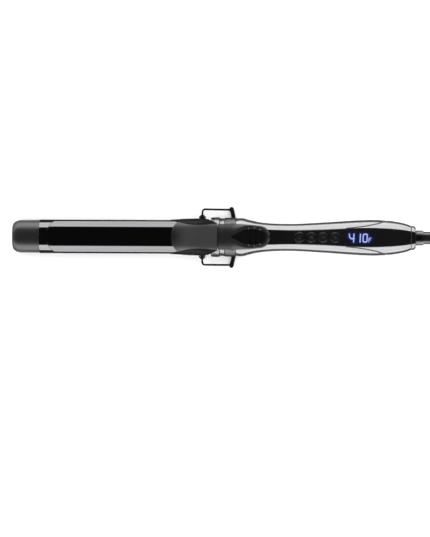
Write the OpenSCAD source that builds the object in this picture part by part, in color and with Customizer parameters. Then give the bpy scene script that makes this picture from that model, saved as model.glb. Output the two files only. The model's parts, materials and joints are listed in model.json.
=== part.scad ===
// Curling iron: heated barrel with a sprung clip, a folding stand, a handle with
// four buttons and a display, and a swivel cord folded into a hank.
// The iron is drawn along +X from its tip, then laid at rest on its foot and tip.

/* [Barrel] */
// Outer diameter of the barrel, a 1 1/4 inch iron
barrel_d = 31.75; // [31.5:0.05:32]
// Wall of the barrel tube
barrel_wall = 1; // [0.8:0.1:1.2]
// Length of the tip cap
cap_length = 25.7; // [22:0.1:27]
// Radius of the tip cap at its shoulder
cap_r = 15.4; // [15.2:0.05:15.6]

/* [Clip] */
// Distance from the tip to the front of the clip
clip_start = 33.2; // [32:0.2:36]
// Outer radius of the clip
clip_r = 17.3; // [17.2:0.05:17.4]
// Thickness of the clip plate
clip_t = 0.8; // [0.6:0.1:0.9]
// Angle from the top of the clip to each edge
clip_half_angle = 68; // [60:1:69]
// Distance the clip's pivot lies from the tip
pivot_s = 196; // [195.8:0.1:196.2]
// Height of the clip's pivot above the barrel's axis
pivot_z = 22; // [21.9:0.1:22.2]
// Rise of the thumb lever
lever_slope = 15; // [14.5:0.5:16]

/* [Stand] */
// Distance the stand's pivot lies from the tip
stand_s = 179.3; // [179:0.1:179.6]
// Radius of the stand's wire
wire_r = 0.9; // [0.8:0.05:0.95]
// Half the distance between the two arms
arm_y = 26.2; // [25.5:0.1:26.5]
// Radius of the foot bar
foot_r = 2.05; // [1.9:0.05:2.2]
// Half the width of the foot
foot_half_width = 28.9; // [28.5:0.1:30]

/* [Handle] */
// Where the handle begins
handle_start = 211.5; // [211.4:0.1:211.6]
// Where the handle ends
handle_end = 375.7; // [375.6:0.1:375.8]
// Wall of the handle shells
shell_t = 2.2; // [2:0.1:2.3]

/* [Buttons] */
// Place of the first button
first_button_s = 270.9; // [270.5:0.1:271.5]
// Distance from button to button
button_pitch = 11.27; // [11.2:0.01:11.4]
// Radius of a button
button_r = 4.2; // [4:0.05:4.22]

/* [Cord] */
// Diameter of the cord
cord_d = 6.5; // [6:0.1:6.5]
// Length of the strain relief
relief_length = 45; // [40:1:46]

/* [Hidden] */
$fn = 64;
fine = 96;

// Barrel and the rings behind it
barrel_r = barrel_d / 2;
barrel_bore_r = barrel_r - barrel_wall;
barrel_end = 210;
cap_face_r = 10.4;
cap_round = 9;
cap_rear_r = 15.5;
spigot_length = 8;
slip = 0.05;
block_r = barrel_bore_r - slip;
block_hollow_r = 12.6;
web_z = [0.8, 2.8];
groove_r = 1.6;
sensor_r = 0.7;
sensor_z = barrel_bore_r - sensor_r - 0.1;
block_start = 36;
block_end = 184;
element_size = [130, 9, 1.6];
ferrule_start = 187.7;
ferrule_end = 196.1;
ferrule_r = 18.7;
spacer_end = 200.5;
spacer_r = 17.7;
collar_end = 211.3;
collar_r = 18.4;
collar_spigot_r = 15.2;
wire_passage_r = 12;
collar_screw_s = 208;
collar_screw_r = 1.3;
collar_screw_angle = 40.7;

// Clip, its arm and its cover
clip_end = 185.5;
clip_corner_r = 13.5;
arm_half = 5.2;
arm_t = 2;
arm_length = 41;
ear_inner = 5.5;
ear_outer = 7.1;
ear_r = 3;
pin_r = 1.5;
pin_head_r = 2.3;
pin_head_t = 0.8;
running_gap = 0.05;
knuckle_r = 2.9;
rivet_stations = [177, 182];
rivet_r = 1.2;
cover_start = 150.7;
cover_r = 18.1;
cover_rear = 194.3;
cover_half_angle = 74;
cavity_half = 8.5;
cavity_r = 3.5;
lever_start = -1.2;
lever_half_front = 12.2;
lever_half_rear = 10.5;
lever_round_u = 38.9;
lever_top = 4.7;
lever_skirt = -1.6;
// Thumb pad's outline: distance along the lever, half width
PAD = [
    [12.5, 0], [17, 3], [22, 6.6], [26, 9], [30, 9.5], [36, 9.3], [41, 8.3], [44.5, 6.2],
    [46.6, 3.4], [47.3, 0]
];
pad_w = 3.2;
pad_t = 0.8;
rib_stations = [30.3, 35.9, 41.5];
rib_half = [8.4, 9, 7.4];
rib_size = [1.3, 0.9];
lever_screw_stations = [27, 37];
lever_screw_r = 1.1;

// Stand, stowed under the collar
bend_r = 3;
arm_drop = 21.65;
foot_arc_r = 105;
foot_end_r = foot_r + 0.01;
foot_mid_s = 209.6;
foot_centre_s = foot_mid_s - foot_arc_r;
foot_join_s = foot_centre_s + sqrt(foot_arc_r ^ 2 - arm_y ^ 2);
foot_arc_angle = asin((foot_half_width - foot_r) / foot_arc_r);
arm_reach = foot_join_s - stand_s;
arm_length_stand = norm([arm_reach, arm_drop]);
arm_angle = atan2(arm_drop, arm_reach);
boss_r = 3.1;
boss_end = 18;
bracket_r = 17.1;

// The iron at rest touches down at its foot and at the cap's shoulder
rest_run = foot_join_s - cap_round;
rest_rise = arm_drop - cap_r;
rest_pitch = atan2(rest_rise, rest_run) + asin(foot_r / norm([rest_run, rest_rise]));
axis_z = cap_r * cos(rest_pitch) - cap_round * sin(rest_pitch);

// Handle outline: distance from the tip and radius
HANDLE = [
    [211.5, 17.6], [215.5, 18], [219, 17.55], [223, 16.45], [230.5, 14.7], [238, 13.65],
    [246, 13], [256, 12.75], [268, 12.8], [281, 13.45], [300, 14.6], [319, 15.9],
    [338, 16.75], [347, 16.55], [357, 15.8], [366, 14.45], [372, 12.9], [375.7, 11.5]
];
// Panel outline: distance from the tip and half width
PANEL = [
    [215, 7.4], [230, 7.1], [243.5, 6.9], [258, 6.5], [272, 6.3], [290, 6.8], [310, 8],
    [328, 8.9], [347, 8.7], [366, 7.3], [375.7, 6.1]
];
// Seam between the front shells and the tail: distance and half width
SEAM = [[315, 0], [315, 8.6], [325, 9.6], [335, 11], [344, 13], [351, 15.2], [358, 19]];
tail_wall_start = 371;
tail_bore_r = 9;

// Buttons and electronics
button_count = 4;
button_travel = 0.5;
ring_r = 4.75;
ring_bore_r = 4.3;
ring_sink = 0.25;
ring_depth = 3.5;
board_z = 3;
board_t = 1.6;
board_start = 258;
board_end = 346;
board_half = 8;
board_top = board_z + board_t;
switch_h = 2.5;
stem_r = 1.6;
flange_r = 4.9;
flange_top = 3.9;
flange_t = 0.7;
display_start = 313.5;
display_end = 342.5;
display_half = 6.2;
post_stations = [228, 250];
tail_screw_s = 362;
board_post_stations = [261.5, 342];
screw_r = 1.25;
screw_head_r = 2.6;

// Swivel
ring_end = 380.1;
swivel_gap = 0.3;
spindle_r = 5;
socket_start = 354;
socket_r = 9;
swivel_collar_end = 387.5;
relief_start_r = 5.9;
relief_end_r = 3.7;
relief_end = swivel_collar_end + relief_length;

// Origin under the middle of the iron
x_low = -cap_face_r * sin(rest_pitch);
x_high = relief_end * cos(rest_pitch) + relief_end_r * sin(rest_pitch);
origin_x = -(x_low + x_high) / 2;

// Hank of cord, lying on the same surface, beyond the end of the iron
hank_left = 300;
hank_right = 430;
hank_layers = 3;
hank_bend_r = 26;
tie_t = 1;
tie_left = 386;
tie_width = 12;
hank_height = hank_layers * cord_d;
hank_half = hank_bend_r + cord_d / 2;
lead_start = on_axis(relief_end + swivel_gap);
LEAD = [
    lead_start, [226, 0, 33.5], [240, 2.5, 32], [252, 7.5, 29], [264, 13.5, 25],
    [276, 19.5, 21], [288, 24, 18], [300, 26, 17.25]
];
TAIL = [
    [430, -19.5, 17.25], [420, -20, 18.5], [411, -21.5, 22.25], [402, -22.5, 26],
    [392, -23, 27.75], [382, -23, 28], [372, -23, 28], [362, -23, 28]
];
cord_sides = 10;
plug_rear = 362;
plug_length = 35;
plug_y = -23;
plug_z = 28;
plug_size = [24, 15];
blade_size = [17.5, 1.5, 6.35];
blade_spacing = 12.7;

// A point on the iron's axis, in the resting frame
function on_axis(s) = [origin_x + s * cos(rest_pitch), 0, axis_z + s * sin(rest_pitch)];

// Catmull-Rom curve through a list of points, steps pieces between each two
function pick(list, i) = list[max(0, min(len(list) - 1, i))];
function blend_at(a, b, c, d, t) =
    b + 0.5 * t * (c - a) + t ^ 2 * (a - 2.5 * b + 2 * c - 0.5 * d)
    + t ^ 3 * 0.5 * (3 * (b - c) + d - a);
function smooth_line(list, steps) = [
    for (i = [0 : len(list) - 2], k = [0 : steps - 1])
        blend_at(pick(list, i - 1), list[i], list[i + 1], pick(list, i + 2), k / steps),
    list[len(list) - 1]
];
function handle_r(s) = lookup(s, HANDLE);

// Tube swept along a list of points
function unit(v) = v / norm(v);
function tangent(path, i) = unit(pick(path, i + 1) - pick(path, i - 1));
function side_of(t) = unit(cross([0, 0, 1], t));
module swept_tube(path, r, sides) {
    rings = len(path);
    points = [
        for (i = [0 : rings - 1], k = [0 : sides - 1])
            let (t = tangent(path, i), u = side_of(t), v = cross(t, u), a = k * 360 / sides)
                path[i] + r * cos(a) * u + r * sin(a) * v
    ];
    walls = [
        for (i = [0 : rings - 2], k = [0 : sides - 1])
            let (n = (k + 1) % sides)
                [i * sides + k, (i + 1) * sides + k, (i + 1) * sides + n, i * sides + n]
    ];
    start = [[for (k = [0 : sides - 1]) k]];
    finish = [[for (k = [sides - 1 : -1 : 0]) (rings - 1) * sides + k]];
    polyhedron(points, concat(walls, start, finish), convexity = 6);
}

module placed() {
    translate([origin_x, 0, axis_z]) rotate([0, -rest_pitch, 0]) children();
}

module turned(profile) {
    rotate([0, 90, 0]) rotate_extrude($fn = fine) polygon(profile);
}

module rod_x(s, length, r) {
    translate([s, 0, 0]) rotate([0, 90, 0]) cylinder(h = length, r = r, $fn = fine);
}

module tube_x(s, length, r_out, r_in) {
    difference() {
        rod_x(s, length, r_out);
        rod_x(s - 1, length + 2, r_in);
    }
}

module rod_y(s, z, y, length, r) {
    translate([s, y, z]) rotate([-90, 0, 0]) cylinder(h = length, r = r);
}

module rod_z(s, y, z, length, r) {
    translate([s, y, z]) cylinder(h = length, r = r);
}

// Side profile in X and Z, extruded to both sides of the middle
module plate_y(points, half) {
    rotate([90, 0, 0]) linear_extrude(height = 2 * half, center = true) polygon(points);
}

module box(low, high) {
    translate(low) cube(high - low);
}

module both_sides() {
    children();
    mirror([0, 1, 0]) children();
}

// ---- Barrel

module tip_cap() {
    color("dimgray") placed() difference() {
        union() {
            turned(concat(
                [[0, 0], [cap_face_r, 0]],
                [for (a = [10 : 10 : 90])
                    [cap_face_r + (cap_r - cap_face_r) * sin(a), cap_round * (1 - cos(a))]],
                [[cap_rear_r, cap_length], [0, cap_length]]
            ));
            rod_x(cap_length - 1, spigot_length + 1, barrel_bore_r - slip);
        }
        rod_x(6, cap_length + spigot_length, 12.4);
    }
}

module tip_insulator() {
    color("ivory") placed() rod_x(cap_length - 1, 4, 12.35);
}

module barrel_tube() {
    color("dimgray") placed() difference() {
        tube_x(cap_length, barrel_end - cap_length, barrel_r, barrel_bore_r);
        collar_screw_shafts();
    }
}

// Half of a hollow heat spreader: a half ring, closed by a flat web on the element
module heater_half() {
    difference() {
        union() {
            tube_x(block_start, block_end - block_start, block_r, block_hollow_r);
            box([block_start, -block_hollow_r - 1, 0], [block_end, block_hollow_r + 1, web_z[1]]);
        }
        box([block_start - 1, -block_r - 1, -block_r - 1], [block_end + 1, block_r + 1, web_z[0]]);
        translate([0, 0, block_r]) rod_x(block_start - 1, block_end, groove_r);
    }
}

module heater_block_upper() {
    color("silver") placed() heater_half();
}

module heater_block_lower() {
    color("silver") placed() mirror([0, 0, 1]) heater_half();
}

module heater_element() {
    color("white") placed() translate([110, 0, 0]) cube(element_size, center = true);
}

module temperature_sensor() {
    color("orange") placed() translate([0, 0, sensor_z]) rod_x(120, 12, sensor_r);
}

module thermal_fuse() {
    color("tan") placed() translate([0, 0, -sensor_z]) rod_x(150, 14, sensor_r);
}

module base_insulator() {
    color("ivory") placed() difference() {
        rod_x(block_end, 5, barrel_bore_r - slip);
        both_sides() lead_run(block_end - 1, block_end + 6, 5.5, 2, slip);
    }
}

module ferrule_ring() {
    color("silver") placed()
        tube_x(ferrule_start, ferrule_end - ferrule_start, ferrule_r, barrel_r);
}

module spacer_ring() {
    color("gainsboro") placed()
        tube_x(ferrule_end, spacer_end - ferrule_end, spacer_r, barrel_r);
}

module collar_screw_shafts() {
    both_sides() rotate([-collar_screw_angle, 0, 0])
        rod_z(collar_screw_s, 0, barrel_bore_r - 0.4, collar_r - barrel_bore_r + 0.45,
            collar_screw_r);
}

module front_collar() {
    color("gray") placed() difference() {
        union() {
            rod_x(spacer_end, collar_end - spacer_end, collar_r);
            rod_x(spacer_end, collar_end - spacer_end + 6.5, collar_spigot_r);
        }
        rod_x(spacer_end - 1, barrel_end - spacer_end + 1, barrel_r);
        rod_x(spacer_end, 20, wire_passage_r);
        collar_screw_shafts();
    }
}

module collar_screws() {
    color("#222") placed() collar_screw_shafts();
}

// ---- Stand

module stand_bracket() {
    color("gray") placed() difference() {
        union() {
            intersection() {
                tube_x(174.5, 11, bracket_r, barrel_r);
                box([170, -20, -20], [190, 20, 3.6]);
            }
            both_sides() difference() {
                rod_y(stand_s, 0, barrel_r - 1, boss_end - barrel_r + 1, boss_r);
                rod_x(170, 20, barrel_r + 0.3);
            }
        }
        both_sides() rod_y(stand_s, 0, barrel_r, 5, wire_r + running_gap);
    }
}

module stand_frame() {
    translate([stand_s, 0, 0]) rotate([0, arm_angle, 0]) children();
}

module arm_wire() {
    rod_y(0, 0, 16.5, arm_y - bend_r - 16.5, wire_r);
    translate([bend_r, arm_y - bend_r, 0]) rotate([0, 0, 90])
        rotate_extrude(angle = 90) translate([bend_r, 0]) circle(r = wire_r);
    translate([bend_r, arm_y, 0]) rotate([0, 90, 0])
        cylinder(h = arm_length_stand - bend_r + 0.5, r = wire_r);
}

module stand_arms() {
    color("#1a1a1a") placed() stand_frame() both_sides() arm_wire();
}

module foot_bar() {
    translate([foot_join_s, 0, -arm_drop]) rotate([0, rest_pitch, 0])
        translate([foot_centre_s - foot_join_s, 0, 0]) {
            rotate([0, 0, -foot_arc_angle]) rotate_extrude(angle = 2 * foot_arc_angle, $fn = fine)
                translate([foot_arc_r, 0]) circle(r = foot_r);
            for (side = [-1, 1])
                rotate([0, 0, side * foot_arc_angle]) translate([foot_arc_r, 0, 0])
                    sphere(r = foot_end_r);
        }
}

module stand_foot() {
    color("#111") placed() difference() {
        foot_bar();
        stand_frame() both_sides() translate([0, arm_y, 0]) rotate([0, 90, 0])
            cylinder(h = arm_length_stand + 0.5, r = wire_r);
    }
}

module stand_washers() {
    color("#111") placed() both_sides() difference() {
        rod_y(stand_s, 0, boss_end + 0.1, 1.8, boss_r);
        rod_y(stand_s, 0, boss_end - 1, 4, wire_r);
    }
}

// ---- Clip

// Wedge of a half angle about the iron's axis, open upwards
module wedge(s, length, half_angle) {
    far = 40;
    translate([s, 0, 0]) rotate([90, 0, 90]) linear_extrude(height = length)
        polygon([[0, 0], [-far * tan(half_angle), far], [far * tan(half_angle), far]]);
}

module clip_plate() {
    intersection() {
        tube_x(clip_start, clip_end - clip_start, clip_r, clip_r - clip_t);
        wedge(clip_start - 1, clip_end, clip_half_angle);
        linear_extrude(height = 40) polygon(clip_plan());
    }
}

// Plan of the clip: a square back and a front with rounded corners
function clip_plan() = let (
    half = clip_r,
    flat = 3,
    corner_s = clip_start + clip_corner_r
) concat(
    [[clip_end, -half], [clip_end, half]],
    [for (a = [0 : 10 : 90]) [corner_s - clip_corner_r * sin(a), flat + clip_corner_r * cos(a)]],
    [for (a = [0 : 10 : 90]) [corner_s - clip_corner_r * cos(a), -flat - clip_corner_r * sin(a)]]
);

module clip_rivet_shafts() {
    for (s = rivet_stations) rod_z(s, 0, clip_r - clip_t + 0.05, 3, rivet_r);
}

module clip() {
    color("#2b2b2e") placed() difference() {
        clip_plate();
        clip_rivet_shafts();
    }
}

module pivot_frame() {
    translate([pivot_s, 0, pivot_z]) rotate([0, -lever_slope, 0]) children();
}

module arm_shape() {
    difference() {
        union() {
            plate_y([[174, 15], [186.2, 15], [186.2, 20.1], [194, 20.3], [196, 22],
                [195, 24.2], [188, 22.2], [184.4, 19], [174, 19]], arm_half);
            rod_y(pivot_s, pivot_z, -arm_half, 2 * arm_half, knuckle_r);
            pivot_frame() box([0, -arm_half, -arm_t], [arm_length, arm_half, 0]);
        }
        rod_x(170, 16.3, clip_r);
    }
}

module lever_screw_shafts(r) {
    pivot_frame() for (u = lever_screw_stations) rod_z(u, 0, -arm_t, arm_t + 2.2, r);
}

module clip_arm() {
    color("silver") placed() difference() {
        arm_shape();
        rod_y(pivot_s, pivot_z, -10, 20, pin_r + running_gap);
        clip_rivet_shafts();
        lever_screw_shafts(lever_screw_r);
    }
}

module clip_rivets() {
    color("silver") placed() {
        clip_rivet_shafts();
        for (s = rivet_stations) rod_z(s, 0, 19, 0.9, 2);
    }
}

function cover_plan() = let (half = 17.4, corner = 8) concat(
    [for (a = [0 : 15 : 90])
        [cover_start + corner * (1 - sin(a)), half - corner + corner * cos(a)]],
    [for (a = [0 : 15 : 90])
        [cover_start + corner * (1 - cos(a)), -half + corner - corner * sin(a)]],
    [[182, -half], [cover_rear, -10.6], [cover_rear, 10.6], [182, half]]
);

module clip_cover() {
    color("#1c1c1c") placed() difference() {
        intersection() {
            union() {
                intersection() {
                    rod_x(cover_start, 60, cover_r);
                    wedge(cover_start - 1, 60, cover_half_angle);
                }
                intersection() {
                    rod_x(186.5, 20, 20.2);
                    wedge(180, 20, 60);
                }
                plate_y([[164, 12], [164, 18.1], [172, 19.6], [184, 23.4], [190, 25.9],
                    [cover_rear, 26.7], [cover_rear, 12]], 10.6);
            }
            linear_extrude(height = 40) polygon(cover_plan());
        }
        rod_x(cover_start - 1, clip_end + 1.2 - cover_start, clip_r);
        rod_x(clip_end, 20, 19.2);
        plate_y([[173.8, 15], [186, 15], [200, 15], [200, 21], [200, 25.4], [190, 24.4],
            [185.5, 20.6], [182, 20.1], [173.8, 20.1]], arm_half + 0.3);
        box([186, -cavity_half, 15], [200, cavity_half, 23.6]);
        rod_y(pivot_s, pivot_z, -cavity_half, 2 * cavity_half, cavity_r);
    }
}

function lever_plan(inset) = concat(
    [[lever_start, -lever_half_front + inset]],
    [for (a = [-90 : 10 : 90])
        [lever_round_u + (lever_half_rear - inset) * cos(a), (lever_half_rear - inset) * sin(a)]],
    [[lever_start, lever_half_front - inset]]
);

function pad_plan() = let (line = smooth_line(PAD, 2), last = len(line) - 1) concat(
    line, [for (i = [last - 1 : -1 : 1]) [line[i][0], -line[i][1]]]
);

// Cross ribs of the pad; their ends sit in seats cut in the lever
module pad_ribs() {
    for (i = [0 : len(rib_stations) - 1])
        box([rib_stations[i] - rib_size[0] / 2, -rib_half[i], pad_w + pad_t / 2],
            [rib_stations[i] + rib_size[0] / 2, rib_half[i], pad_w + pad_t + rib_size[1]]);
}

module thumb_lever() {
    color("#161616") placed() difference() {
        pivot_frame() difference() {
            translate([0, 0, lever_skirt]) linear_extrude(height = lever_top - lever_skirt)
                polygon(lever_plan(0));
            translate([0, 0, pad_w]) linear_extrude(height = 5) polygon(pad_plan());
            pad_ribs();
            box([-5, -arm_half - 0.02, -5], [arm_length + 0.02, arm_half + 0.02, 0]);
        }
        rod_y(pivot_s, pivot_z, -cavity_half, 2 * cavity_half, cavity_r);
        box([pivot_s - 8, -cavity_half, 10], [pivot_s, cavity_half, pivot_z + 2]);
        box([pivot_s - 8, -20, 10], [cover_rear + 0.4, 20, 40]);
        rod_x(190, 8, 20.2);
        lever_screw_shafts(lever_screw_r);
    }
}

module thumb_pad() {
    color("#111") placed() pivot_frame() {
        translate([0, 0, pad_w]) linear_extrude(height = pad_t) polygon(pad_plan());
        pad_ribs();
    }
}

module lever_screws() {
    color("silver") placed() {
        lever_screw_shafts(lever_screw_r);
        pivot_frame() for (u = lever_screw_stations) rod_z(u, 0, -arm_t - 0.7, 0.7, 2);
    }
}

module pivot_bracket() {
    color("silver") placed() difference() {
        union() {
            intersection() {
                tube_x(188.2, 3.3, ferrule_r + 1, ferrule_r);
                box([180, -ear_outer, 10], [200, ear_outer, 30]);
            }
            both_sides() {
                translate([0, (ear_inner + ear_outer) / 2, 0])
                    plate_y([[188.2, 16], [198.5, 16], [199, 22], [196, 25], [193.5, 23.6],
                        [188.2, 20]], (ear_outer - ear_inner) / 2);
                rod_y(pivot_s, pivot_z, ear_inner, ear_outer - ear_inner, ear_r);
            }
        }
        rod_x(180, 30, ferrule_r);
        rod_y(pivot_s, pivot_z, -10, 20, pin_r);
    }
}

module pivot_pin() {
    color("silver") placed() {
        rod_y(pivot_s, pivot_z, -ear_outer, 2 * ear_outer, pin_r);
        both_sides() rod_y(pivot_s, pivot_z, ear_outer, pin_head_t, pin_head_r);
    }
}

// Leaf spring folded at its front: one leg on the collar, one under the arm
module clip_spring() {
    color("silver") placed() difference() {
        plate_y([[200.8, 18], [211, 18], [211, 19.1], [203.2, 19.1], [202.4, 19.5],
            [211, 23], [210.8, 23.6], [201, 19.9]], 3);
        rod_x(190, 40, collar_r);
    }
}

// ---- Handle

module handle_solid() {
    turned(concat([[0, handle_start]],
        [for (p = smooth_line(HANDLE, 2)) [p[1], p[0]]], [[0, handle_end]]));
}

module handle_hollow() {
    turned(concat([[0, handle_start - 1], [HANDLE[0][1] - shell_t, handle_start - 1]],
        [for (p = smooth_line(HANDLE, 2)) if (p[0] < tail_wall_start) [p[1] - shell_t, p[0]]],
        [[10.8, tail_wall_start], [tail_bore_r, tail_wall_start],
            [tail_bore_r, handle_end + 1], [0, handle_end + 1]]));
}

module handle_shell() {
    difference() {
        handle_solid();
        handle_hollow();
    }
}

module panel_prism() {
    line = smooth_line(PANEL, 2);
    last = len(line) - 1;
    linear_extrude(height = 30) polygon(concat(
        [for (p = line) [p[0] + (p == line[last] ? 1 : 0), p[1]]],
        [for (i = [last : -1 : 0]) [line[i][0] + (i == last ? 1 : 0), -line[i][1]]]
    ));
}

// Everything in front of the V-shaped seam
module front_region(low, high) {
    line = concat([for (i = [len(SEAM) - 1 : -1 : 1]) [SEAM[i][0], -SEAM[i][1]]],
        [for (i = [1 : len(SEAM) - 1]) SEAM[i]]);
    translate([0, 0, low]) linear_extrude(height = high - low)
        polygon(concat([[200, -19]], line, [[200, 19]]));
}

module handle_top() {
    color("silver") placed() difference() {
        intersection() {
            handle_shell();
            front_region(0, 30);
        }
        panel_prism();
    }
}

// Post from the shell's floor up to the circuit board, bored for its screw
module board_post(s) {
    difference() {
        rod_z(s, 0, -handle_r(s) + 1.5, board_z + handle_r(s) - 1.5, 2.4);
        rod_z(s, 0, -4, 20, 1);
    }
}

module handle_bottom() {
    color("silver") placed() difference() {
        union() {
            intersection() {
                handle_shell();
                front_region(-30, 0);
            }
            board_post(board_post_stations[0]);
        }
        for (s = post_stations) screw_recess(s);
    }
}

module screw_recess(s) {
    rod_z(s, 0, -handle_r(s) - 2, 2 + 1.4, screw_head_r);
    rod_z(s, 0, -handle_r(s) - 2, 8, screw_r);
}

module handle_tail() {
    color("silver") placed() {
        difference() {
            handle_shell();
            front_region(-30, 30);
            panel_prism();
            screw_recess(tail_screw_s);
        }
        board_post(board_post_stations[1]);
    }
}

module one_screw(s, top) {
    rod_z(s, 0, -handle_r(s) + 0.4, 1, screw_head_r);
    rod_z(s, 0, -handle_r(s) + 0.4, top + handle_r(s) - 0.4, screw_r);
}

module handle_screws() {
    color("#333") placed() {
        for (s = post_stations) one_screw(s, -2);
        one_screw(tail_screw_s, -7.9);
    }
}

module button_places() {
    for (i = [0 : button_count - 1]) translate([button_s(i), 0, 0]) children();
}
function button_s(i) = first_button_s + i * button_pitch;

module display_prism() {
    box([display_start, -display_half, 5], [display_end, display_half, 30]);
}

module control_panel() {
    color("#0c0c0d") placed() difference() {
        union() {
            intersection() {
                handle_shell();
                panel_prism();
            }
            for (s = post_stations) rod_z(s, 0, -5, handle_r(s) + 5 - shell_t / 2, 3);
        }
        button_places() rod_z(0, 0, 0, 30, ring_r);
        display_prism();
        for (s = post_stations) rod_z(s, 0, -6, 4, screw_r);
    }
}

module button_rings() {
    color("gray") placed() for (i = [0 : button_count - 1])
        translate([button_s(i), 0, handle_r(button_s(i)) - ring_sink - ring_depth]) difference() {
            cylinder(h = ring_depth, r = ring_r);
            translate([0, 0, -1]) cylinder(h = ring_depth + 2, r = ring_bore_r);
        }
}

module push_button(i) {
    s = button_s(i);
    top = handle_r(s);
    stem_end = board_top + switch_h + button_travel + 0.1;
    color("#111") placed() {
        rod_z(s, 0, top - flange_top, flange_top - 0.1, button_r);
        rod_z(s, 0, top - flange_top - flange_t, flange_t, flange_r);
        rod_z(s, 0, stem_end, top - flange_top - stem_end, stem_r);
    }
}

module power_button() { push_button(0); }
module mode_button() { push_button(1); }
module minus_button() { push_button(2); }
module plus_button() { push_button(3); }

module tact_switches() {
    color("#444") placed() button_places()
        box([-3, -3, board_top], [3, 3, board_top + switch_h]);
}

module circuit_board() {
    color("darkgreen") placed() difference() {
        box([board_start, -board_half, board_z], [board_end, board_half, board_top]);
        for (s = board_post_stations) rod_z(s, 0, 0, 10, 1);
    }
}

module board_screws() {
    color("silver") placed() for (s = board_post_stations) {
        rod_z(s, 0, -4, board_top + 4, 1);
        rod_z(s, 0, board_top, 1.2, 2);
    }
}

module display_module() {
    color("#223") placed() box([display_start + 1, -display_half + 0.4, board_top],
        [board_post_stations[1] - 2.5, display_half - 0.4, 11]);
}

module display_window() {
    color("#101018") placed() intersection() {
        handle_shell();
        display_prism();
    }
}

module heater_switch() {
    color("#222") placed() box([266, -5, -1.6], [276, 5, board_z]);
}

module capacitor() {
    color("saddlebrown") placed() translate([0, 0, board_z - 4]) rod_x(285, 18, 4);
}

module lead_run(from, to, y, z, extra) {
    translate([0, y, z]) rod_x(from, to - from, 0.9 + extra);
}

module heater_leads() {
    color("firebrick") placed() both_sides() lead_run(block_end, 264, 5.5, 2, 0);
}

module power_leads() {
    color("black") placed() both_sides() lead_run(334, socket_start + 2.5, 5, 2, 0);
}

// ---- Swivel

module end_ring() {
    color("silver") placed() turned([[spindle_r + 0.4, handle_end], [11.4, handle_end],
        [10.9, 377.8], [9.6, ring_end], [spindle_r + 0.4, ring_end]]);
}

module swivel_socket() {
    color("#333") placed() difference() {
        rod_x(socket_start, handle_end - socket_start, socket_r);
        rod_x(socket_start + 2.5, 9.5, 7.4);
        rod_x(socket_start + 5, 30, spindle_r + running_gap);
        both_sides() lead_run(socket_start - 1, socket_start + 4, 5, 2, 0);
        rod_z(tail_screw_s, 0, -10, 2.1, screw_r);
    }
}

module contact_brushes() {
    color("gold") placed() both_sides()
        box([socket_start + 2.5, 4.4, -1.5], [362, 4.9, 1.1]);
}

module swivel_spindle() {
    color("#444") placed() {
        rod_x(363, 387.5 - 363 - 7.1, spindle_r);
        rod_x(363, 2.7, 6.6);
        rod_x(358, 5, 3.2);
    }
}

module contact_rings() {
    color("gold") placed() {
        tube_x(358.3, 1.4, 3.9, 3.2);
        tube_x(360.8, 1.4, 3.9, 3.2);
    }
}

module swivel_collar() {
    color("gray") placed() turned(concat([[0, ring_end + swivel_gap], [6.8, ring_end + swivel_gap]],
        [for (i = [0 : 3], k = [0, 1])
            [k == 0 ? 7.2 : 6.9, ring_end + swivel_gap + 0.6 + i * 1.6 + k * 0.9]],
        [[6.6, swivel_collar_end], [0, swivel_collar_end]]));
}

module strain_relief() {
    color("#151515") placed() turned([[0, swivel_collar_end], [relief_start_r, swivel_collar_end],
        [relief_start_r, swivel_collar_end + 8], [relief_end_r, relief_end], [0, relief_end]]);
}

// ---- Cord

module cord_lead() {
    color("#151515") swept_tube(LEAD, cord_d / 2, cord_sides);
}

module hank_outline(half) {
    middle = (hank_left + hank_right) / 2;
    translate([hank_left, 0]) circle(r = half);
    translate([hank_right, 0]) circle(r = half);
    translate([middle, 0]) square([hank_right - hank_left, 2 * half], center = true);
}

module cord_hank() {
    color("#151515") translate([0, 0, tie_t]) linear_extrude(height = hank_height)
        hank_outline(hank_half);
}

module cord_tail() {
    color("#151515") swept_tube(TAIL, cord_d / 2, cord_sides);
}

module cord_tie() {
    color("#333") difference() {
        box([tie_left, -hank_half - tie_t, 0],
            [tie_left + tie_width, hank_half + tie_t, hank_height + 2 * tie_t]);
        box([tie_left - 1, -hank_half, tie_t],
            [tie_left + tie_width + 1, hank_half, hank_height + tie_t]);
    }
}

module plug_body() {
    color("#151515") translate([plug_rear, plug_y, plug_z]) rotate([0, 0, 180]) difference() {
        union() {
            translate([0, -plug_size[0] / 2, -plug_size[1] / 2])
                cube([plug_length, plug_size[0], plug_size[1]]);
        }
        for (side = [-1, 1]) translate([plug_length - 5, side * blade_spacing / 2, 0])
            translate([0, -blade_size[1] / 2, -blade_size[2] / 2])
                cube([10, blade_size[1], blade_size[2]]);
    }
}

module plug_blades() {
    color("gold") for (side = [-1, 1])
        translate([plug_rear - plug_length - blade_size[0], plug_y + side * blade_spacing / 2, plug_z])
            translate([0, -blade_size[1] / 2, -blade_size[2] / 2])
                cube([blade_size[0] + 5, blade_size[1], blade_size[2]]);
}

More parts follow.
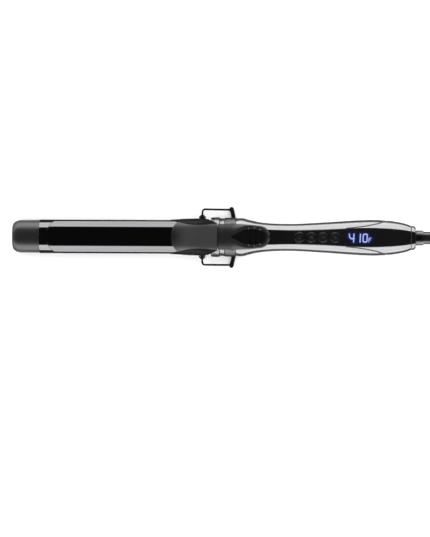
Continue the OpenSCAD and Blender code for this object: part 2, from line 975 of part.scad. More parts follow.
tip_cap();
tip_insulator();
barrel_tube();
heater_element();
heater_block_upper();
heater_block_lower();
temperature_sensor();
thermal_fuse();
base_insulator();
ferrule_ring();
spacer_ring();
front_collar();
collar_screws();
stand_bracket();
stand_arms();
stand_foot();
stand_washers();
clip();
clip_arm();
clip_rivets();
clip_cover();
thumb_lever();
thumb_pad();
lever_screws();
pivot_bracket();
pivot_pin();
clip_spring();
handle_top();
handle_bottom();
handle_tail();
handle_screws();
control_panel();
button_rings();
power_button();
mode_button();
minus_button();
plus_button();
tact_switches();
circuit_board();
board_screws();
display_module();
display_window();
heater_switch();
capacitor();
heater_leads();
power_leads();
end_ring();
swivel_socket();
contact_brushes();
swivel_spindle();
contact_rings();
swivel_collar();
strain_relief();
cord_lead();
cord_hank();
cord_tail();
cord_tie();
plug_body();
plug_blades();
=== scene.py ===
"""Curling iron: the looks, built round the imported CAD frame.

Shapes are made in the iron's own space, in millimetres: s runs along the iron from its
tip, y across it, and z up from its axis. TO_FRAME lays them where the CAD iron lies.
"""

import json
from math import acos, asin, ceil, cos, exp, floor, hypot, pi, radians, sin, sqrt, tan

import bmesh
import bpy
from mathutils import Matrix, Vector


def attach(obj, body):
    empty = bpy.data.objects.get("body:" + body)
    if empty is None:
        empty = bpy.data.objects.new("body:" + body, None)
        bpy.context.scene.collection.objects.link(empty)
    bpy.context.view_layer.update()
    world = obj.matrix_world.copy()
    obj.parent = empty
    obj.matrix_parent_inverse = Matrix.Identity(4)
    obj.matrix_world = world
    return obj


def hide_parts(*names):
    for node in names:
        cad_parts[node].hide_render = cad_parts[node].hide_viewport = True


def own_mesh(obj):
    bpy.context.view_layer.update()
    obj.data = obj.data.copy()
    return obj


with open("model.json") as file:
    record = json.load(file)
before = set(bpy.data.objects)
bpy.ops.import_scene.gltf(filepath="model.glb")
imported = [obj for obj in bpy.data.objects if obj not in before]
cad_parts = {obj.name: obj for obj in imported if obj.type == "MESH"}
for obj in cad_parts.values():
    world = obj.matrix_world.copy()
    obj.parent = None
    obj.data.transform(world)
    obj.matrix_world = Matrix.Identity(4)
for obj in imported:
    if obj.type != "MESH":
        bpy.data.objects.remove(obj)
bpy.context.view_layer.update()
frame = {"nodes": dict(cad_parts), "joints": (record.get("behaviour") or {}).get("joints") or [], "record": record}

MM = 0.001
ZONE = "zone"
JOINTS = {joint["name"]: joint for joint in frame["joints"]}

# ---- the iron's own space

SWIVEL_S = 384
SWIVEL = JOINTS["cord_swivel"]
ALONG = Vector(SWIVEL["axis"]).normalized()
ACROSS = Vector((0, 1, 0))
TIP = Vector(SWIVEL["pos_m"]) - ALONG * SWIVEL_S * MM
TO_FRAME = Matrix.Translation(TIP) @ Matrix(
    (ALONG, ACROSS, ALONG.cross(ACROSS))
).transposed().to_4x4()

# Driving sizes, in millimetres, with the clip's half angle in degrees
BARREL_R = 15.875
CAP_LENGTH = 25.7
CLIP_R = 17.3
CLIP_T = 0.8
CLIP_HALF_ANGLE = 68
CLIP_START = 33.2
CLIP_END = 185.5
CLIP_CORNER = 13.5
CLIP_FLAT = 3
PIVOT = (196, 22)
LEVER_SLOPE = radians(15)
HANDLE_START = 211.5
HANDLE_END = 375.7
PANEL_START = 215
COVER_START = 150.7
COVER_REAR = 194.3
RELIEF_START = 387.5
RELIEF_END = 432.5
CORD_D = 6.5

# Half widths along the handle, by distance from the tip
HANDLE = [
    (211.5, 17.6), (215.5, 18), (219, 17.55), (223, 16.45), (230.5, 14.7), (238, 13.65),
    (246, 13), (256, 12.75), (268, 12.8), (281, 13.45), (300, 14.6), (319, 15.9),
    (338, 16.75), (347, 16.55), (357, 15.8), (366, 14.45), (372, 12.9), (375.7, 11.5),
]
PANEL = [
    (215, 7.4), (230, 7.1), (243.5, 6.9), (258, 6.5), (272, 6.3), (290, 6.8), (310, 8),
    (328, 8.9), (347, 8.7), (366, 7.3), (375.7, 6.1),
]
# Seam between the front shells and the tail: half width to distance from the tip
SEAM = [(0, 315), (8.6, 315), (9.6, 325), (11, 335), (13, 344), (15.2, 351), (19, 358)]


def curve_through(table, x):
    """Smooth value at x of a table of (x, value), by cubic Hermite pieces."""
    if x <= table[0][0]:
        return table[0][1]
    if x >= table[-1][0]:
        return table[-1][1]
    i = max(k for k in range(len(table) - 1) if table[k][0] <= x)
    (x0, y0), (x1, y1) = table[i], table[i + 1]

    def slope(k):
        low, high = table[max(0, k - 1)], table[min(len(table) - 1, k + 1)]
        return (high[1] - low[1]) / (high[0] - low[0])

    width = x1 - x0
    t = (x - x0) / width
    return (
        (2 * t**3 - 3 * t**2 + 1) * y0
        + (t**3 - 2 * t**2 + t) * width * slope(i)
        + (3 * t**2 - 2 * t**3) * y1
        + (t**3 - t**2) * width * slope(i + 1)
    )


def line_through(table, x):
    """Straight-line value at x of a table of (x, value)."""
    for (x0, y0), (x1, y1) in zip(table, table[1:]):
        if x <= x1:
            return y0 + (y1 - y0) * max(0.0, (x - x0) / (x1 - x0))
    return table[-1][1]


def handle_r(s):
    return curve_through(HANDLE, s)


def panel_half(s):
    return curve_through(PANEL, s)


def ring_point(s, r, angle):
    """Point at radius r about the axis; angle is in radians from the top, towards +Y."""
    return (s, r * sin(angle), r * cos(angle))


def handle_point(s, angle, lift=0.0):
    return ring_point(s, handle_r(s) + lift, angle)


def top_point(s, y, lift=0.0):
    """Point on the handle's top, over (s, y), lifted along the surface's normal."""
    r = handle_r(s)
    return handle_point(s, asin(max(-1.0, min(1.0, y / r))), lift)


def smoothstep(t):
    t = max(0.0, min(1.0, t))
    return t * t * (3 - 2 * t)


def lerp(a, b, t):
    return a + (b - a) * t


def steps_between(a, b, count):
    return [lerp(a, b, k / count) for k in range(count + 1)]


def angles(start, end, count):
    """Angles in radians, in equal steps between two given in degrees."""
    return [radians(a) for a in steps_between(start, end, count)]


def turns(count):
    """Angles of that many equal steps round a circle."""
    return [2 * pi * k / count for k in range(count)]


def in_frame(point):
    """A point in the iron's millimetres, as a vector in the frame's metres."""
    return TO_FRAME @ (Vector(point) * MM)


def through(rows, steps):
    """Catmull-Rom curve through rows of numbers, each next to its neighbours."""
    out = []
    for i in range(len(rows) - 1):
        a, b, c = rows[max(0, i - 1)], rows[i], rows[i + 1]
        d = rows[min(len(rows) - 1, i + 2)]
        for k in range(steps):
            t = k / steps
            out.append([
                q + 0.5 * t * (r - p) + t**2 * (p - 2.5 * q + 2 * r - 0.5 * u)
                + t**3 * (1.5 * (q - r) + 0.5 * (u - p))
                for p, q, r, u in zip(a, b, c, d)
            ])
    out.append(list(rows[-1]))
    return out


# ---- meshes


def grid_faces(rows, columns, wrap=False):
    """Quads of a grid of points stored row by row; wrap joins the last column to the first."""
    last = columns if wrap else columns - 1
    return [
        (
            i * columns + j,
            i * columns + (j + 1) % columns,
            (i + 1) * columns + (j + 1) % columns,
            (i + 1) * columns + j,
        )
        for i in range(rows - 1)
        for j in range(last)
    ]


def tube_faces(rows, ring):
    """Faces round a closed tube of rings of points, with a flat cap at each end."""
    last = (rows - 1) * ring
    caps = [tuple(range(ring - 1, -1, -1)), tuple(range(last, last + ring))]
    return grid_faces(rows, ring, wrap=True) + caps


def loop_faces(rows, ring):
    """Faces round a tube of rings of points whose last ring meets its first."""
    total = rows * ring
    return [tuple(v % total for v in face) for face in grid_faces(rows + 1, ring, wrap=True)]


def join(parts):
    """One list of points and one of faces from several."""
    points, faces = [], []
    for some_points, some_faces in parts:
        base = len(points)
        points += list(some_points)
        faces += [tuple(base + v for v in face) for face in some_faces]
    return points, faces


def add_object(name, data):
    """An object in the scene round some data."""
    made = bpy.data.objects.new(name, data)
    bpy.context.collection.objects.link(made)
    return made


def add_mesh(name, points, faces, body, slot, nodes=(), place=TO_FRAME, material=None):
    """A smooth-shaded piece that rides on a body and stands for the CAD nodes named."""
    mesh = bpy.data.meshes.new(name)
    mesh.from_pydata([place @ (Vector(p) * MM) for p in points], [], faces)
    mesh.validate()
    mesh.update()
    for polygon in mesh.polygons:
        polygon.use_smooth = True
    mesh.materials.append(MATERIALS[material or slot])
    piece = add_object(name, mesh)
    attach(piece, body)
    if nodes:
        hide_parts(*nodes)
    return piece


def rework(piece, change):
    """Runs change on a piece's mesh, opened as a bmesh."""
    work = bmesh.new()
    work.from_mesh(piece.data)
    change(work)
    work.to_mesh(piece.data)
    work.free()


def add_closed(name, points, faces, body, slot, nodes=(), **more):
    """A closed piece, with every face turned outwards."""
    piece = add_mesh(name, points, faces, body, slot, nodes, **more)
    rework(piece, lambda work: bmesh.ops.recalc_face_normals(work, faces=work.faces))
    return piece


def face_up(piece):
    """Turns an open skin so that its faces look away from the iron's axis."""
    mesh = piece.data
    outwards = 0.0
    for polygon in mesh.polygons:
        centre = polygon.center - TIP
        radial = centre - ALONG * centre.dot(ALONG)
        outwards += polygon.normal.dot(radial)
    if outwards < 0:
        mesh.flip_normals()


def mark(piece, values):
    """Keeps one number a vertex on a mesh, for its material to read."""
    attribute = piece.data.attributes.new(ZONE, "FLOAT", "POINT")
    attribute.data.foreach_set("value", values)


def add_skin(name, across, along, point_at, wall, bevel, *, zone=None, **more):
    """An open grid over two lists of values, given a wall inwards and soft edges."""
    spots = [(u, v) for u in across for v in along]
    points = [point_at(u, v) for u, v in spots]
    piece = add_mesh(name, points, grid_faces(len(across), len(along)), **more)
    if zone:
        mark(piece, [zone(u, v) for u, v in spots])
    face_up(piece)
    thicken(piece, wall, bevel)
    return piece


def thicken(piece, thickness, bevel, angle=35):
    """Gives a skin its wall, inwards, and softens the wall's edges."""
    wall = piece.modifiers.new("wall", "SOLIDIFY")
    wall.thickness = thickness * MM
    wall.offset = -1
    wall.use_even_offset = True
    soften_edges(piece, bevel, angle)


def soften_edges(piece, width, angle=35):
    bevel = piece.modifiers.new("edges", "BEVEL")
    bevel.width = width * MM
    bevel.segments = 2
    bevel.limit_method = "ANGLE"
    bevel.angle_limit = radians(angle)
    bevel.harden_normals = True


def rounded(profile, radius, steps=4):
    """A profile with each inner corner replaced by an arc of about that radius."""
    out = [profile[0]]
    for a, b, c in zip(profile, profile[1:], profile[2:]):
        va, vb, vc = Vector(a), Vector(b), Vector(c)
        reach = min(radius, (va - vb).length * 0.45, (vc - vb).length * 0.45)
        start = vb + (va - vb).normalized() * reach
        end = vb + (vc - vb).normalized() * reach
        for k in range(steps + 1):
            t = k / steps
            out.append(tuple((1 - t) ** 2 * start + 2 * t * (1 - t) * vb + t**2 * end))
    out.append(profile[-1])
    return out


def lathe(profile, sides=144):
    """(points, faces) of a profile of (s, r) turned about the iron's axis, closed at both ends."""
    points = [ring_point(s, r, a) for s, r in profile for a in turns(sides)]
    return points, tube_faces(len(profile), sides)


def turned(name, profile, body, slot, nodes=(), radius=0.25, sides=144, material=None):
    points, faces = lathe(rounded(profile, radius), sides)
    return add_mesh(name, points, faces, body, slot, nodes, material=material)


# ---- materials


class NodeTree:
    """A node tree, with short calls to add and join its nodes."""

    def __init__(self, tree):
        self.tree = tree

    def feed(self, node, inputs):
        """Sets a node's inputs: another node's output is joined, anything else is a value."""
        for key, value in inputs.items():
            if isinstance(value, bpy.types.NodeSocket):
                self.tree.links.new(value, node.inputs[key])
            else:
                node.inputs[key].default_value = value

    def add(self, kind, output, inputs, **settings):
        """Adds a node, sets it up, and gives the output of that name."""
        node = self.tree.nodes.new("ShaderNode" + kind)
        for key, value in settings.items():
            setattr(node, key, value)
        self.feed(node, inputs)
        return node.outputs[output]

    def ramp(self, factor, stops):
        """Colours at the stops, each (position, colour), over a factor."""
        output = self.add("ValToRGB", "Color", {"Fac": factor})
        elements = output.node.color_ramp.elements
        while len(elements) < len(stops):
            elements.new(0.5)
        for element, (position, color) in zip(elements, stops):
            element.position = position
            element.color = (*color, 1)
        return output


class Shader(NodeTree):
    """A Principled material, with short calls for its procedural detail."""

    def __init__(self, name, color, rough, metal=0.0, **more):
        self.material = bpy.data.materials.new(name)
        self.material.use_nodes = True
        super().__init__(self.material.node_tree)
        self.rough = rough
        self.color = color
        self.surface(Base_Color=(*color, 1), Roughness=rough, Metallic=metal, **more)

    def surface(self, **inputs):
        """Sets the surface's own inputs, with _ for a space in their names."""
        shader = self.tree.nodes["Principled BSDF"]
        self.feed(shader, {key.replace("_", " "): value for key, value in inputs.items()})

    def place(self):
        return self.add("TexCoord", "Object", {})

    def noise(self, scale, stretch=(1, 1, 1), detail=3.0):
        """Noise in object space; scale is in cells a metre."""
        place = self.add("Mapping", "Vector", {"Vector": self.place(), "Scale": stretch})
        return self.add("TexNoise", "Fac", {"Vector": place, "Scale": scale, "Detail": detail})

    def spread(self, value, low, high):
        return self.add("MapRange", "Result", {"Value": value, "To Min": low, "To Max": high})

    def vary_rough(self, value, spread):
        low, high = max(0.0, self.rough - spread), min(1.0, self.rough + spread)
        self.surface(Roughness=self.spread(value, low, high))

    def vary_color(self, value, darker, lighter):
        shades = [[min(1, c * amount) for c in self.color] for amount in (darker, lighter)]
        self.surface(Base_Color=self.ramp(value, list(zip((0.3, 0.7), shades))))

    def bump(self, value, distance, strength):
        """distance is the relief's height in millimetres."""
        relief = {"Height": value, "Distance": distance * MM, "Strength": strength}
        self.surface(Normal=self.add("Bump", "Normal", relief))


def polished(name, color, rough, edge=None):
    """Polished metal with a faint lengthwise grain; edge, when given, is painted shade: the dark colour of its
    marked rim, standing for the shadowed gap under the edge.
    """
    made = Shader(name, color, rough, 1.0)
    made.vary_rough(made.noise(60, detail=5), rough * 0.45)
    made.vary_color(made.noise(25, (0.6, 1, 1)), 0.96, 1.04)
    made.bump(made.noise(2500, (0.02, 1, 1), 2), 0.002, 0.35)
    return two_zone(made, edge, (0.5, 0.1)) if edge else made.material


def brushed(name, color, rough, lengthwise=False, relief=0.006):
    """Brushed metal: turned rings have hairlines round them, others along them."""
    made = Shader(name, color, rough, 1.0)
    stretch = (0.03, 1, 1) if lengthwise else (1, 0.04, 0.04)
    lines = made.noise(3200, stretch, 4)
    made.vary_rough(lines, 0.08)
    made.vary_color(made.noise(900, stretch, 3), 0.84, 1.1)
    made.bump(lines, relief, 0.5)
    return made.material


def two_zone(made, inside, shine):
    """Another colour and shine, from low to high, where the mesh's zone values are high. Each use here is painted
    light: painted shade on the cover's flanks and on the clip's rim, a painted highlight on the ribs' tips.
    """
    zone = made.add("Attribute", "Fac", {}, attribute_name=ZONE)
    plain = made.tree.nodes["Principled BSDF"].inputs["Base Color"].links[0].from_socket
    mix = made.tree.nodes.new("ShaderNodeMix")
    mix.data_type = "RGBA"
    made.feed(mix, {"Factor": zone, "A": plain, "B": (*inside, 1)})
    made.surface(Base_Color=mix.outputs["Result"], Specular_IOR_Level=made.spread(zone, *shine))
    return made.material


def grained(made, spread, shades, grain, relief):
    """The fine spark-eroded grain of moulded plastic and rubber."""
    made.vary_rough(made.noise(120, detail=4), spread)
    made.vary_color(made.noise(300), *shades)
    made.bump(made.noise(grain, detail=4), relief, 0.6)
    return made


def textured_cover(name, color, rough, flank_painted_shade):
    """Fine-textured top. The zone paints shade: a darker colour on the flanks, where they turn from the light, and
    behind the middle of the front edge.
    """
    made = grained(Shader(name, color, rough), 0.05, (0.9, 1.12), 2200, 0.01)
    return two_zone(made, flank_painted_shade, (0.6, 0.08))


def highlight_tipped(name, color, tip_highlight):
    """Rubber whose marked tips get a painted highlight: a lighter colour, and more shine, where the rib ends would
    catch the light.
    """
    made = grained(Shader(name, color, 0.45), 0.06, (0.88, 1.14), 2600, 0.012)
    return two_zone(made, tip_highlight, (0.2, 0.8))


def moulded(name, color, rough, grain=1800, relief=0.012, coat=0.0, shine=0.5, sheen=0.0):
    made = Shader(name, color, rough, Coat_Weight=coat, Coat_Roughness=0.2,
                  Specular_IOR_Level=shine, Sheen_Weight=sheen)
    return grained(made, 0.06, (0.88, 1.14), grain, relief).material


def painted_silver(name, color, rough):
    """Metallic silver paint under clear lacquer: fine flake and lengthwise polish."""
    made = Shader(name, color, rough, 0.86, Coat_Weight=0.3, Coat_Roughness=0.06)
    made.vary_color(made.noise(4200, (0.5, 1, 1), 2), 0.9, 1.08)
    made.vary_rough(made.noise(500, (0.06, 1, 1), 3), 0.06)
    made.bump(made.noise(5200, (0.3, 1, 1), 2), 0.003, 0.35)
    return made.material


def gloss_black(name, color, rough=0.06):
    """Gloss black moulding with the faint ripple and fine wear of handled plastic."""
    made = Shader(name, color, rough, Specular_IOR_Level=0.5)
    made.vary_rough(made.noise(90, detail=5), 0.035)
    made.vary_color(made.noise(40), 0.85, 1.2)
    made.bump(made.noise(160, detail=2), 0.004, 0.3)
    return made.material


def lit(name, color, strength):
    """A lit display segment, with the slight unevenness of the diffuser behind it."""
    made = Shader(name, [0.1 * c for c in color], 0.4)
    made.vary_color(made.noise(900), 0.9, 1.05)
    made.surface(Emission_Color=(*color, 1), Emission_Strength=strength)
    return made.material


def woven(name, color):
    """Woven strap: a plain weave of warp and weft threads."""
    made = Shader(name, color, 0.85, Sheen_Weight=0.3)
    threads = [
        made.add("TexWave", "Fac", {"Vector": made.place(), "Scale": 260, "Distortion": 0.4},
                 bands_direction=direction)
        for direction in ("X", "Y")
    ]
    weave = made.add("Math", "Value", dict(enumerate(threads)), operation="MAXIMUM")
    made.vary_color(weave, 0.6, 1.5)
    made.bump(weave, 0.15, 0.8)
    return made.material


def display_glow(name):
    """Smoked window; the mesh's own glow values light it round the numerals."""
    made = Shader(name, (0.004, 0.004, 0.006), 0.06)
    made.vary_rough(made.noise(90, detail=4), 0.03)
    made.bump(made.noise(160), 0.003, 0.3)
    glow = made.add("Attribute", "Fac", {}, attribute_name=ZONE)
    light = made.ramp(glow, [(0, (0, 0, 0)), (1, (0.03, 0.06, 0.5))])
    made.surface(Emission_Color=light, Emission_Strength=0.5)
    return made.material


# Each slot's material: its kind and what that kind takes, the base colour first
LOOKS = {
    "cap_plastic": (moulded, (0.003, 0.003, 0.0032), 0.36, 1500, 0.02, 0, 0.8, 0.2),
    "barrel_metal": (polished, (0.165, 0.165, 0.17), 0.045),
    # clip_metal's last colour is painted shade, a dark line on the clip's rim for the shadowed gap under it
    "clip_metal": (polished, (0.15, 0.15, 0.155), 0.035, (0.02, 0.02, 0.02)),
    "ring_metal": (brushed, (0.21, 0.21, 0.213), 0.28),
    "collar_grey": (brushed, (0.1, 0.1, 0.102), 0.34, True, 0.02),
    "screw_dark": (brushed, (0.02, 0.02, 0.021), 0.35),
    "stand_black": (moulded, (0.006, 0.006, 0.0063), 0.45, 2600, 0.006, 0, 0.1),
    "plain_steel": (brushed, (0.3, 0.3, 0.31), 0.3, True),
    # cover_plastic's last colour is painted shade, for the flanks and behind the front edge
    "cover_plastic": (textured_cover, (0.022, 0.022, 0.023), 0.4, (0.004, 0.004, 0.004)),
    "lever_plastic": (moulded, (0.0065, 0.0065, 0.0067), 0.36, 2200, 0.008, 0, 0.6),
    "pad_rubber": (moulded, (0.0018, 0.0018, 0.0019), 0.45, 2600, 0.015, 0, 0.2),
    # rib_rubber's last colour is a painted highlight, lighter tips where the ribs catch the light
    "rib_rubber": (highlight_tipped, (0.0012, 0.0012, 0.0013), (0.1, 0.1, 0.1)),
    "handle_silver": (painted_silver, (0.23, 0.23, 0.235), 0.17),
    "panel_gloss": (gloss_black, (0.004, 0.004, 0.0043)),
    "button_ring": (brushed, (0.15, 0.15, 0.155), 0.35),
    "button_black": (gloss_black, (0.005, 0.005, 0.0053), 0.16),
    "icon_grey": (moulded, (0.012, 0.012, 0.0125), 0.4),
    "display_light": (lit, (0.37, 0.48, 0.87), 0.88),
    "display_glass": (display_glow,),
    "end_metal": (painted_silver, (0.23, 0.23, 0.234), 0.17),
    "swivel_grey": (brushed, (0.16, 0.16, 0.162), 0.3, False, 0.006),
    "cord_rubber": (moulded, (0.005, 0.005, 0.0053), 0.3, 1400, 0.02, 0.8),
    "plug_plastic": (moulded, (0.01, 0.01, 0.0105), 0.42, 1600, 0.02),
    "brass_contact": (brushed, (0.35, 0.27, 0.13), 0.25, True),
    "tie_fabric": (woven, (0.015, 0.015, 0.016)),
    "ceramic_white": (moulded, (0.8, 0.79, 0.75), 0.6),
    "spreader_aluminium": (brushed, (0.4, 0.41, 0.42), 0.35, True),
    "component_black": (moulded, (0.012, 0.012, 0.012), 0.5),
    "board_green": (moulded, (0.02, 0.12, 0.05), 0.35, 900, 0.01, 0.4),
    "lead_red": (moulded, (0.4, 0.04, 0.03), 0.45),
}
MATERIALS = {name: kind(name, *values) for name, (kind, *values) in LOOKS.items()}

# ---- camera

PICTURE_HEIGHT = 537
MM_PER_PIXEL = 0.9435
SEEN_CENTRE = (191.4, -29.65)
ROLL = radians(0.28)
LENS = 200
SENSOR = 36


def make_camera():
    """Looks straight down on the iron, from far enough to flatten it."""
    centre = in_frame((SEEN_CENTRE[0], 0, 0))
    tall = PICTURE_HEIGHT * MM_PER_PIXEL * MM
    distance = LENS * tall / SENSOR
    data = bpy.data.cameras.new("camera")
    data.lens = LENS
    data.sensor_width = SENSOR
    data.clip_end = 50
    camera = add_object("camera", data)
    camera.location = (centre.x, SEEN_CENTRE[1] * MM, centre.z + distance)
    camera.rotation_euler = (0, 0, ROLL)
    bpy.context.scene.camera = camera


make_camera()

# ---- cord

HANK_LEFT = 300
HANK_RIGHT = 430
OUTER_BEND = 26
INNER_BEND = OUTER_BEND - CORD_D
TIE_T = 1
LEAD = [
    (226, 0, 33.5), (240, 2.5, 32), (252, 7.5, 29), (264, 13.5, 25), (276, 19.5, 21),
    (288, 24, 18), (300, 26, 17.25),
]
TAIL = [
    (430, -19.5, 17.25), (420, -20, 18.5), (411, -21.5, 22.25), (402, -22.5, 26),
    (392, -23, 27.75), (382, -23, 28), (372, -23, 28), (362, -23, 28),
]
RAMP_IN = (0.0, 0.3)
SHIFT = (0.3, 0.65)
RAMP_OUT = (0.65, 1.0)


def layer_z(layer):
    return TIE_T + CORD_D * (layer + 0.5)


def lap(bend_in, bend_out, layer_in, layer_out, ramp, whole=True):
    """One turn of the hank, from the left end of the +Y run; whole adds the way back."""
    z_in, z_out = layer_z(layer_in), layer_z(layer_out)
    path = [(x, bend_in, z_in) for x in steps_between(HANK_LEFT, HANK_RIGHT, 20)]
    for a in angles(90, -90, 24)[1:]:
        path.append((HANK_RIGHT + bend_in * cos(a), bend_in * sin(a), z_in))
    if not whole:
        return path
    for t in steps_between(0, 1, 30)[1:]:
        rise = smoothstep((t - ramp[0]) / (ramp[1] - ramp[0]))
        inward = smoothstep((t - SHIFT[0]) / (SHIFT[1] - SHIFT[0]))
        bend = lerp(bend_in, bend_out, inward)
        path.append((lerp(HANK_RIGHT, HANK_LEFT, t), -bend, lerp(z_in, z_out, rise)))
    for a in angles(-90, -270, 24)[1:-1]:
        path.append((HANK_LEFT + bend_out * cos(a), bend_out * sin(a), z_out))
    return path


def cord_path():
    """The whole cord: out of the strain relief, six turns of the hank, and on to the plug."""
    start = in_frame((RELIEF_END + 0.3, 0, 0)) / MM
    path = through([tuple(start)] + LEAD, 6)[:-1]
    path += lap(OUTER_BEND, OUTER_BEND, 2, 1, RAMP_OUT)
    path += lap(OUTER_BEND, OUTER_BEND, 1, 0, RAMP_OUT)
    path += lap(OUTER_BEND, INNER_BEND, 0, 0, RAMP_OUT)
    path += lap(INNER_BEND, INNER_BEND, 0, 1, RAMP_IN)
    path += lap(INNER_BEND, INNER_BEND, 1, 2, RAMP_IN)
    path += lap(INNER_BEND, INNER_BEND, 2, 2, RAMP_IN, whole=False)
    path += through(TAIL, 6)[1:]
    return [Vector(p) * MM for p in path]


def make_cord(path):
    """The cord, as one round tube along its path."""
    data = bpy.data.curves.new("power_cord", "CURVE")
    data.dimensions = "3D"
    data.bevel_depth = CORD_D / 2 * MM
    data.bevel_resolution = 6
    data.use_fill_caps = True
    line = data.splines.new("POLY")
    line.points.add(len(path) - 1)
    for point, place in zip(line.points, path):
        point.co = (*place, 1)
    line.use_smooth = True
    data.materials.append(MATERIALS["cord_rubber"])
    cord = add_object("power_cord", data)
    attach(cord, "body")
    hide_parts("cord_lead", "cord_hank", "cord_tail")
    return cord


FLAT = Matrix.Identity(4)
TIE_LEFT = 386
TIE_WIDTH = 12
WELD = 0.01
PLUG_REAR = (362, -23, 28)
PLUG_LENGTH = 35
BLADE = (17.5, 1.5, 6.35)
BLADE_SPACING = 12.7


def rounded_loop(half_y, low, high, radius, steps=6):
    """Points (y, z) round a rectangle with rounded corners."""
    corners = [
        (half_y - radius, high - radius, 0),
        (-half_y + radius, high - radius, 90),
        (-half_y + radius, low + radius, 180),
        (half_y - radius, low + radius, 270),
    ]
    loop = []
    for y, z, start in corners:
        for a in angles(start, start + 90, steps):
            loop.append((y + radius * cos(a), z + radius * sin(a)))
    return loop


def make_tie():
    """Hook-and-loop strap round the middle of the hank."""
    hank_half = OUTER_BEND + CORD_D / 2
    top = TIE_T + 3 * CORD_D
    outer = rounded_loop(hank_half + TIE_T - 0.02, 0.02, top + TIE_T - 0.05, 4)
    inner = rounded_loop(hank_half, TIE_T, top, 3)
    strap = ((0, inner), (0, outer), (TIE_WIDTH, outer), (TIE_WIDTH, inner), (0, inner))
    points = [(TIE_LEFT + x, y, z) for x, loop in strap for y, z in loop]
    faces = grid_faces(len(strap), len(inner), wrap=True)
    tie = add_mesh("cord_strap", points, faces, "body", "tie_fabric", ["cord_tie"], FLAT)
    weld = tie.modifiers.new("weld", "WELD")
    weld.merge_threshold = WELD * MM
    soften_edges(tie, 0.25)
    return tie


def make_plug():
    """Moulded plug with a waisted grip, side ribs and its own tapered strain relief."""
    x0, y0, z0 = PLUG_REAR
    stations = [
        (21, 3.6, 3.6), (20.6, 4.1, 4.1), (14, 4.6, 4.6), (6, 5.2, 5.2), (1.5, 5.8, 5.8),
        (0, 7.4, 6.2), (-1.2, 9.2, 6.7), (-4, 10.6, 7.1), (-9, 11.2, 7.2), (-15, 10.2, 6.8),
        (-21, 10.2, 6.8), (-27, 11.4, 7.2), (-31, 11.9, 7.4), (-34, 11.9, 7.4),
        (-34.8, 11.6, 7.1), (-35, 11, 6.5),
    ]
    ring = 48
    points = []
    for dx, half_y, half_z in through(stations, 3):
        square = 2.2 if dx > 0 else 4.5
        for a in turns(ring):
            c, s = cos(a), sin(a)
            swell = (abs(c) ** square + abs(s) ** square) ** (-1 / square)
            rib = 0.25 * max(0.0, sin(dx * 2.1)) if -27 < dx < -6 and abs(c) > 0.8 else 0
            points.append((x0 + dx, y0 + (half_y - rib) * c * swell, z0 + half_z * s * swell))
    faces = tube_faces(len(points) // ring, ring)
    return add_closed("mains_plug", points, faces, "body", "plug_plastic", ["plug_body"], place=FLAT)


def make_blades():
    """Two flat blades with rounded tips and a round hole each."""
    x0, y0, z0 = PLUG_REAR
    length, thick, width = BLADE
    hole_r, hole_x, steps = 1.6, 4.4, 24
    hole_s = x0 - PLUG_LENGTH - length + hole_x
    blades = []
    for side in (-1, 1):
        middle = y0 + side * BLADE_SPACING / 2
        points = []
        for a in turns(steps):
            c, s = cos(a), sin(a)
            corner = min(1 / max(abs(c), abs(s)), 1.25)
            rim = max(-width / 2, min(width / 2, s * corner * width / 2))
            hole = (hole_s + hole_r * c, z0 + hole_r * s)
            edge = (hole_s + c * corner * (hole_x if c < 0 else length - hole_x + 1), z0 + rim)
            for (x, z), face in ((hole, -1), (edge, -1), (edge, 1), (hole, 1)):
                points.append((x, middle + face * thick / 2, z))
        blades.append((points, loop_faces(steps, 4)))
    piece = add_closed("mains_blades", *join(blades), "body", "brass_contact", ["plug_blades"],
                       place=FLAT)
    soften_edges(piece, 0.15)
    return piece


CORD_PATH = cord_path()
power_cord = make_cord(CORD_PATH)
cord_strap = make_tie()
mains_plug = make_plug()
mains_blades = make_blades()

# ---- barrel and rings


def make_barrel():
    cap = [(0.02, 0.3), (0.02, 10.4)]
    cap += [(8 * (1 - cos(a)), 10.4 + 5 * sin(a)) for a in angles(8, 88, 10)]
    cap += [(12, 15.41), (18, 15.45), (24.6, 15.5), (CAP_LENGTH - 0.1, 15.35), (CAP_LENGTH - 0.1, 13)]
    turned("tip_cap_shell", cap, "body", "cap_plastic", ["tip_cap"], 0.2)
    tube = [(CAP_LENGTH, 14.9), (CAP_LENGTH, BARREL_R), (189, BARREL_R), (189, 14.9)]
    turned("barrel_skin", tube, "body", "barrel_metal", ["barrel_tube"], 0.35, 256)


def make_rings():
    """Ferrule with a groove round it, and the plain spacer behind."""
    bore = BARREL_R + 0.02
    ferrule = [(187.7, bore), (187.7, 18.1), (188.3, 18.65), (190.3, 18.7), (190.5, 18.5),
               (190.9, 18.5), (191.1, 18.7), (195.5, 18.7), (196.1, 18.1), (196.1, bore)]
    turned("ferrule_band", ferrule, "body", "ring_metal", ["ferrule_ring"], 0.18)
    spacer = [(196.1, bore), (196.1, 17.7), (200.5, 17.7), (200.5, bore)]
    turned("spacer_band", spacer, "body", "ring_metal", ["spacer_ring"], 0.3)


def make_collar():
    """Collar with shallow lengthwise flutes and a chamfer at each end."""
    sides, flutes = 360, 60
    profile = rounded([(200.6, 15.9), (200.6, 17.8), (201.2, 18.4), (210.8, 18.4),
                       (211.3, 18.0), (211.3, 12.2)], 0.25)
    points = []
    for s, r in profile:
        depth = 0.12 if 201.8 < s < 210.2 or r > 18.3 else 0.0
        for a in turns(sides):
            cut = depth * max(0.0, cos(flutes * a)) ** 3
            points.append(ring_point(s, r - cut, a))
    faces = grid_faces(len(profile), sides, wrap=True)
    add_mesh("collar_skin", points, faces, "body", "collar_grey", ["front_collar"])


# ---- screws and stand


